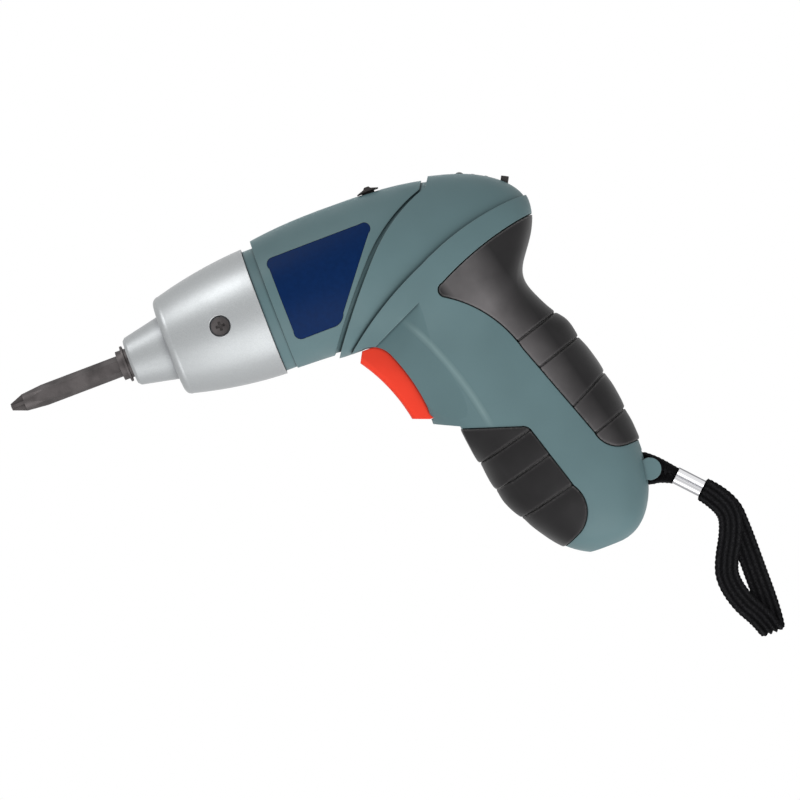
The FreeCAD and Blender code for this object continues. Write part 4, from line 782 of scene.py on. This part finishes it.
def grip_rubber():
    """Dark rubber: a fine stipple, a broad noise that moves it between dull and handled, a painted grey
    highlight that ends some way behind the handle's line, painted shade in the grooves with painted
    highlights on their lips, and a dark line where the middle plane cuts it."""
    finish = Finish("grip_rubber", specular_ior_level=0.16)
    open_face = finish.open_places(GROOVE_REACH)
    handled = finish.between(finish.noise(HANDLED_SCALE, detail=3.0), *HANDLED_SPAN)
    colour = finish.mix(handled, paint(27, 26, 27), paint(38, 37, 38))
    behind = finish.lean(finish.places(), BEHIND_HANDLE)
    # A grey highlight is painted on the flanks of the rear pad, ending behind the handle's line.
    flank_highlight = finish.between(behind, FLANK_HIGHLIGHT_FROM, FLANK_HIGHLIGHT_FULL)
    flank_highlight = flank_highlight * finish.between(behind, FLANK_HIGHLIGHT_END, FLANK_HIGHLIGHT_LOW)
    flank_highlight = flank_highlight * (FLANK_HIGHLIGHT_LEAST + (1 - FLANK_HIGHLIGHT_LEAST) * handled)
    colour = finish.mix(flank_highlight, colour, paint(110, 107, 108))
    lips = finish.edges(finish.soft_edges(LIP_RADIUS), *LIP_LEAN)
    lips = lips * finish.between(open_face, *LIP_OPEN)
    # The grooves are painted darker as shade, and their lips paler as a highlight.
    colour = finish.mix(open_face, paint(12, 12, 13), colour)
    colour = finish.mix(lips * LIP_HIGHLIGHT, colour, paint(132, 130, 130))
    parting = finish.between(abs(finish.part_of(finish.places(), "Y")), *PARTING_EDGE)
    colour = finish.mix(parting, paint(16, 16, 17), colour)
    stipple = finish.noise(STIPPLE_SCALE, detail=3.0) + parting * PARTING_STEP
    roughness = RUBBER_ROUGHNESS - handled * HANDLED_POLISH
    relief = finish.bump(stipple, STIPPLE_HEIGHT)
    return finish.surface(base_color=colour, roughness=roughness, normal=relief)


rubber = grip_rubber()
print("finish", rubber.name)

# %% [markdown]
# The nose is a zinc casting with satin silver paint. The paint holds fine metal flakes that lie almost
# flat, so it is partly a mirror and partly a plain grey coat, and the flakes make its gloss sparkle
# slightly. The edges of the shoulder are worn to brighter metal, and that pale colour is also a painted
# highlight. Its corners are painted darker as shade.

# %% Satin nose paint
NOSE_ROUND_OFF = 0.5 * MM
NOSE_CORNER_REACH = 3.0 * MM
FLAKE_SCALE = 5200.0
COAT_MIRROR, FLAKE_MIRROR = 0.6, 0.15
WORN_AND_HIGHLIT_EDGE = 0.6
SATIN_SCALE = 70.0
SATIN_ROUGHNESS = (0.42, 0.48)
CASTING_SCALE = 1500.0
CASTING_HEIGHT = 0.006 * MM


def satin_silver():
    """Silver paint: a grey coat with small flakes, paler on the edges as wear and as a painted
    highlight, and painted darker in corners as shade.
    """
    finish = Finish("satin_nose_paint")
    rounded = finish.soft_edges(NOSE_ROUND_OFF)
    open_face = finish.open_places(NOSE_CORNER_REACH)
    flakes = finish.between(finish.noise(FLAKE_SCALE, detail=1.0), *NOISE_SPAN)
    colour = finish.mix(flakes, paint(156, 159, 161), paint(174, 177, 178))
    # Edges pale as wear and as a painted highlight.
    colour = finish.mix(finish.edges(rounded) * open_face * WORN_AND_HIGHLIT_EDGE, colour, paint(228, 229, 230))
    # Corners are painted darker as shade.
    colour = finish.mix(open_face, paint(120, 122, 126), colour)
    satin = finish.between(finish.noise(SATIN_SCALE, detail=3.0), *NOISE_SPAN, *SATIN_ROUGHNESS)
    mirror = COAT_MIRROR + FLAKE_MIRROR * flakes
    casting = finish.bump(finish.noise(CASTING_SCALE), CASTING_HEIGHT, rounded)
    return finish.surface(base_color=colour, metallic=mirror, roughness=satin, normal=casting)


nose_paint = satin_silver()
print("finish", nose_paint.name)

# %% [markdown]
# The other metals differ in colour and in how they were worked. A turned piece keeps fine rings
# round its axis, which is noise squeezed along X. A plated one shows them less, so one function
# with a depth of the rings makes both.

# %% Worked metals
TURNED_SCALES = (9000.0, 220.0, 220.0)
TARNISH_SCALE = 160.0
TARNISH_SPAN = (0.35, 0.7)
MARKS_DULL, TARNISH_DULL = 0.1, 0.08


def worked_metal(name, colour, dark, roughness, ring=0.004 * MM):
    """Metal with fine turning marks: noise squeezed along the drive axis moves both the height and
    the gloss, and a slow noise tarnishes it."""
    finish = Finish(name, metallic=1.0)
    marks = finish.noise(1.0, vector=finish.stretched(TURNED_SCALES))
    tarnish = finish.between(finish.noise(TARNISH_SCALE, detail=4.0), *TARNISH_SPAN)
    body = finish.mix(tarnish, colour, dark)
    gloss = roughness + MARKS_DULL * marks + TARNISH_DULL * tarnish
    return finish.surface(base_color=body, roughness=gloss, normal=finish.bump(marks, ring))


metals = {
    "nose": nose_paint,
    "steel": worked_metal(
        "plated_steel", paint(206, 206, 208), paint(170, 170, 174), roughness=0.14, ring=0.001 * MM
    ),
    "gear_steel": worked_metal("gear_steel", paint(150, 150, 154), paint(112, 112, 116), roughness=0.28),
    "dark_steel": worked_metal("phosphated_steel", paint(92, 88, 88), paint(68, 65, 65), roughness=0.48),
    "bronze": worked_metal("bearing_bronze", paint(176, 128, 74), paint(132, 92, 54), roughness=0.36),
    "magnet": worked_metal("sintered_magnet", paint(92, 92, 94), paint(66, 66, 68), roughness=0.48),
    "copper": worked_metal("motor_copper", paint(206, 122, 78), paint(150, 84, 52), roughness=0.26),
}
print(len(metals), "metals")

# %% [markdown]
# The strap's ferrule is cut from drawn tube, whose polish shows the long marks of the die, and long pale
# and dark bands are painted into its colour as reflections. They run along the tube, which hangs at a
# slant, so the noise is laid over the distance across it.

# %% Drawn tube
TUBE_ACROSS = (0.74, 0.0, 0.672)
DIE_SCALE_ACROSS, DIE_SCALE_Y = 900.0, 300.0
STREAK_SPAN = (0.42, 0.62)
TUBE_ROUGHNESS, STREAK_DULL = 0.12, 0.15


def drawn_tube():
    """Polished tube: noise over the distance across the tube gives the long marks of the die in the
    gloss, and pale and dark bands painted into the colour as reflections.
    """
    finish = Finish("drawn_steel_tube", metallic=1.0)
    across = finish.lean(finish.places(), TUBE_ACROSS) * DIE_SCALE_ACROSS
    near_far = finish.part_of(finish.places(), "Y") * DIE_SCALE_Y
    round_tube = finish.node("ShaderNodeCombineXYZ", {}, {"X": across, "Y": near_far})
    die_marks_and_reflections = finish.between(finish.noise(1.0, detail=1.0, vector=round_tube), *STREAK_SPAN)
    # The pale and dark bands in the colour are painted reflections.
    colour = finish.mix(die_marks_and_reflections, paint(232, 232, 234), paint(120, 120, 124))
    return finish.surface(base_color=colour, roughness=TUBE_ROUGHNESS + STREAK_DULL * die_marks_and_reflections)


tube_polish = drawn_tube()
print("finish", tube_polish.name)

# %% [markdown]
# The label is a thin printed film, left bare here in its ground colour. The indicator lights are
# small domes of clear plastic over dark holes. Real glass would take long to render for three dots,
# so they are a dark tint under a clear coat.

# %% Film and domes
FIBRE_SCALE = 700.0
FILM_ROUGHNESS, FIBRE_DULL = 0.42, 0.12
RIPPLE_SCALE = 90.0
RIPPLE_HEIGHT = 0.02 * MM
TINT_SCALE = 500.0
DOME_ROUGHNESS, TINT_DULL = 0.12, 0.08


def label_film():
    """Navy film: the ink has a faint fibre in it, under a top layer with an uneven gloss."""
    finish = Finish("navy_label_film", specular_ior_level=0.06)
    fibre = finish.noise(FIBRE_SCALE, detail=4.0)
    colour = finish.mix(fibre, paint(5, 33, 74), paint(9, 42, 90))
    gloss = FILM_ROUGHNESS + FIBRE_DULL * fibre
    ripple = finish.bump(finish.noise(RIPPLE_SCALE), RIPPLE_HEIGHT)
    return finish.surface(base_color=colour, roughness=gloss, normal=ripple)


def smoky_dome():
    """Clear plastic seen against a dark hole: a dark tint that drifts, under a smooth surface."""
    finish = Finish("smoky_light_dome", coat_weight=0.4, coat_roughness=0.05)
    depth = finish.between(finish.noise(TINT_SCALE), *NOISE_SPAN)
    colour = finish.mix(depth, paint(52, 66, 66), paint(74, 90, 90))
    return finish.surface(base_color=colour, roughness=DOME_ROUGHNESS + TINT_DULL * depth)


film, dome = label_film(), smoky_dome()
print("finishes", film.name, "and", dome.name)

# %% [markdown]
# The strap's yarn is black polyester. Each bundle is a row of fine threads that run along it. They are
# far too fine for the mesh, so they are waves on the strap's own coordinates, and loose fibres are noise
# over them. Their shine is painted into the colour, paler on the ribs, and the valleys between the ribs
# and the hollows are painted darker as shade.

# %% Black braid
THREAD_WAVES = 5 * np.pi
FUZZ_SCALE = 1800.0
THREAD_SHINE = 0.6
SHINE_SPAN = (0.55, 1.15)
YARN_REACH = 1.2 * MM
VALLEY_SHINE = 0.2
YARN_ROUGHNESS, FUZZ_DULL = 0.7, 0.2
YARN_HEIGHT = 0.05 * MM


def black_braid():
    """Black yarn: two slanting sets of fine threads whose shine is painted into the colour, paler on the
    ribs, with painted shade between the ribs and in hollows.
    """
    finish = Finish("black_braid", specular_ior_level=0.05)
    strip = finish.node("ShaderNodeUVMap", {"uv_map": "weave"}, {})
    across, along = finish.part_of(strip, "X"), finish.part_of(strip, "Y")
    first = ((across + along) * THREAD_WAVES).sine()
    second = ((across - along) * THREAD_WAVES).sine()
    threads = 0.5 + 0.25 * (first + second)
    fuzz = finish.noise(FUZZ_SCALE, detail=4.0)
    rib = finish.node("ShaderNodeAttribute", {"attribute_name": "rib"}, {}, "Fac")
    # Painted shine on the threads, with painted shade in hollows and between the ribs.
    shine = finish.between(fuzz + THREAD_SHINE * threads, *SHINE_SPAN) * finish.open_places(YARN_REACH)
    shine = shine * (VALLEY_SHINE + (1 - VALLEY_SHINE) * rib)
    colour = finish.mix(shine, paint(1, 1, 2), paint(52, 52, 54))
    roughness = YARN_ROUGHNESS + FUZZ_DULL * fuzz
    relief = finish.bump(threads + fuzz, YARN_HEIGHT)
    return finish.surface(base_color=colour, roughness=roughness, normal=relief)


yarn = black_braid()
print("finish", yarn.name)

# %% [markdown]
# The record says which slot each CAD piece takes its finish from. Every piece gets the finish of
# its slot, also the ones inside the housing, because the model is opened and used from all sides.
# The ferrule alone has a polish of its own.

# %% Finishes on the pieces
def wear(piece, finish):
    """Gives a piece one finish and no other."""
    piece.data.materials.clear()
    piece.data.materials.append(finish)


finishes = plastics | metals | {"rubber": rubber, "label": film, "lens": dome, "webbing": yarn}
slot_of = {part["node"]: part["material_slot"] for part in frame["record"]["subparts"]}
for node, piece in frame["nodes"].items():
    wear(piece, finishes[slot_of[node]])
wear(frame["nodes"]["strap_ferrule"], tube_polish)
for piece in (wrist_strap, lug_strap):
    wear(piece, finishes["webbing"])
for grip in (rear_grip, front_grip):
    wear(grip, finishes["rubber"])
print(len(slot_of), "pieces finished")

# %% [markdown]
# The studio is a pale floor well below the tool, a white surround and soft lamps. A floor that is
# only lit would look grey from above, so it glows a little for the camera. The glow lights nothing,
# and the floor still takes the tool's shadow.

# %% Floor
FLOOR_HEIGHT = -1.1
FLOOR_RADIUS = 1.9
FLOOR_POINTS = 64
FLOOR_GLOW = 0.5
CHALK_SCALE = 3.0


def floor_disc():
    """A flat disc: a ring of points at the floor's radius and one at its middle."""
    angle = np.linspace(0, 2 * np.pi, FLOOR_POINTS, endpoint=False)
    radius = np.array([0, FLOOR_RADIUS])[:, None]
    level = np.full((2, FLOOR_POINTS), FLOOR_HEIGHT)
    points = np.stack([radius * np.cos(angle), radius * np.sin(angle), level], axis=-1)
    mesh = bpy.data.meshes.new("studio_floor")
    mesh.from_pydata(points.reshape(-1, 3), [], grid_faces(2, FLOOR_POINTS)[:, ::-1])
    return bpy.data.objects.new("studio_floor", mesh)


def looked_at(nodes):
    """1 for what the camera sees, also in a mirror or through glass, and 0 for light on a surface."""
    seen, mirrored, through = (
        nodes.node("ShaderNodeLightPath", {}, {}, f"Is {kind} Ray")
        for kind in ("Camera", "Glossy", "Transmission")
    )
    return nodes.between(seen + mirrored + through, 0, 1)


floor = floor_disc()
bpy.context.scene.collection.objects.link(floor)
floor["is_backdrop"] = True
pale = Finish("pale_floor", roughness=0.8, emission_strength=FLOOR_GLOW)
chalk = pale.mix(pale.noise(CHALK_SCALE), paint(238, 238, 238), paint(244, 244, 244))
glow = pale.mix(looked_at(pale), paint(0, 0, 0), chalk)
wear(floor, pale.surface(base_color=chalk, emission_color=glow))
print("floor", FLOOR_HEIGHT, "m high")

# %% [markdown]
# The surround is plain white for what the camera and the shiny surfaces see. At that strength it
# would also wash the tool out, so as a light it is dimmer, and colours come out about as they are
# written.

# %% Surround
SURROUND_LIGHT = 0.36

world = bpy.data.worlds.new("white_studio")
bpy.context.scene.world = world
world.use_nodes = True
surround = Nodes(world.node_tree)
strength = surround.between(looked_at(surround), 0, 1, SURROUND_LIGHT, 1.0)
background = world.node_tree.nodes["Background"]
surround.feed(background.inputs["Color"], (1, 1, 1, 1))
surround.feed(background.inputs["Strength"], strength)
print("surround", SURROUND_LIGHT, "as a light")

# %% [markdown]
# The nose tells how the photograph is lit: a bright band along its upper third, a dark one along
# its middle and a pale lower half, so one lamp is above the camera and a large soft one is below
# the tool. A third lamp behind the tool lights its far side. Seen against the white surround its
# glare would eat into the outlines, so that lamp is left out of reflections.

# %% Lamps
def lamp(name, place, size, power, mirrored=True):
    """A square soft lamp at a place in metres that faces the middle of the tool, unseen itself. One
    that isn't mirrored lights the surfaces and puts no glare on them."""
    data = bpy.data.lights.new(name, "AREA")
    data.size, data.energy = size, power
    soft_lamp = bpy.data.objects.new(name, data)
    soft_lamp.location = place
    soft_lamp.visible_camera = False
    soft_lamp.visible_glossy = mirrored
    middle = (cad_low + cad_high) / 2
    soft_lamp.rotation_euler = (middle - soft_lamp.location).to_track_quat("-Z", "Y").to_euler()
    bpy.context.scene.collection.objects.link(soft_lamp)


lamp("upper_lamp", place=(-0.3, -0.45, 1.0), size=0.45, power=4.2)
lamp("lower_lamp", place=(0.0, -0.65, -0.8), size=1.3, power=12.0)
lamp("back_lamp", place=(0.0, 1.0, 0.4), size=0.6, power=9.0, mirrored=False)
bpy.context.scene.view_settings.view_transform = "Standard"
print(len(bpy.data.lights), "lamps")

# %% [markdown]
# The looks must not change the tool's size, so the CAD box from the start and the box of what is shown
# now are printed side by side.

# %% Sizes and finish
seen_low, seen_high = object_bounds()
for name, extent in (("cad", cad_high - cad_low), ("shown", seen_high - seen_low)):
    print(name, [round(v * 1000, 1) for v in extent], "mm")
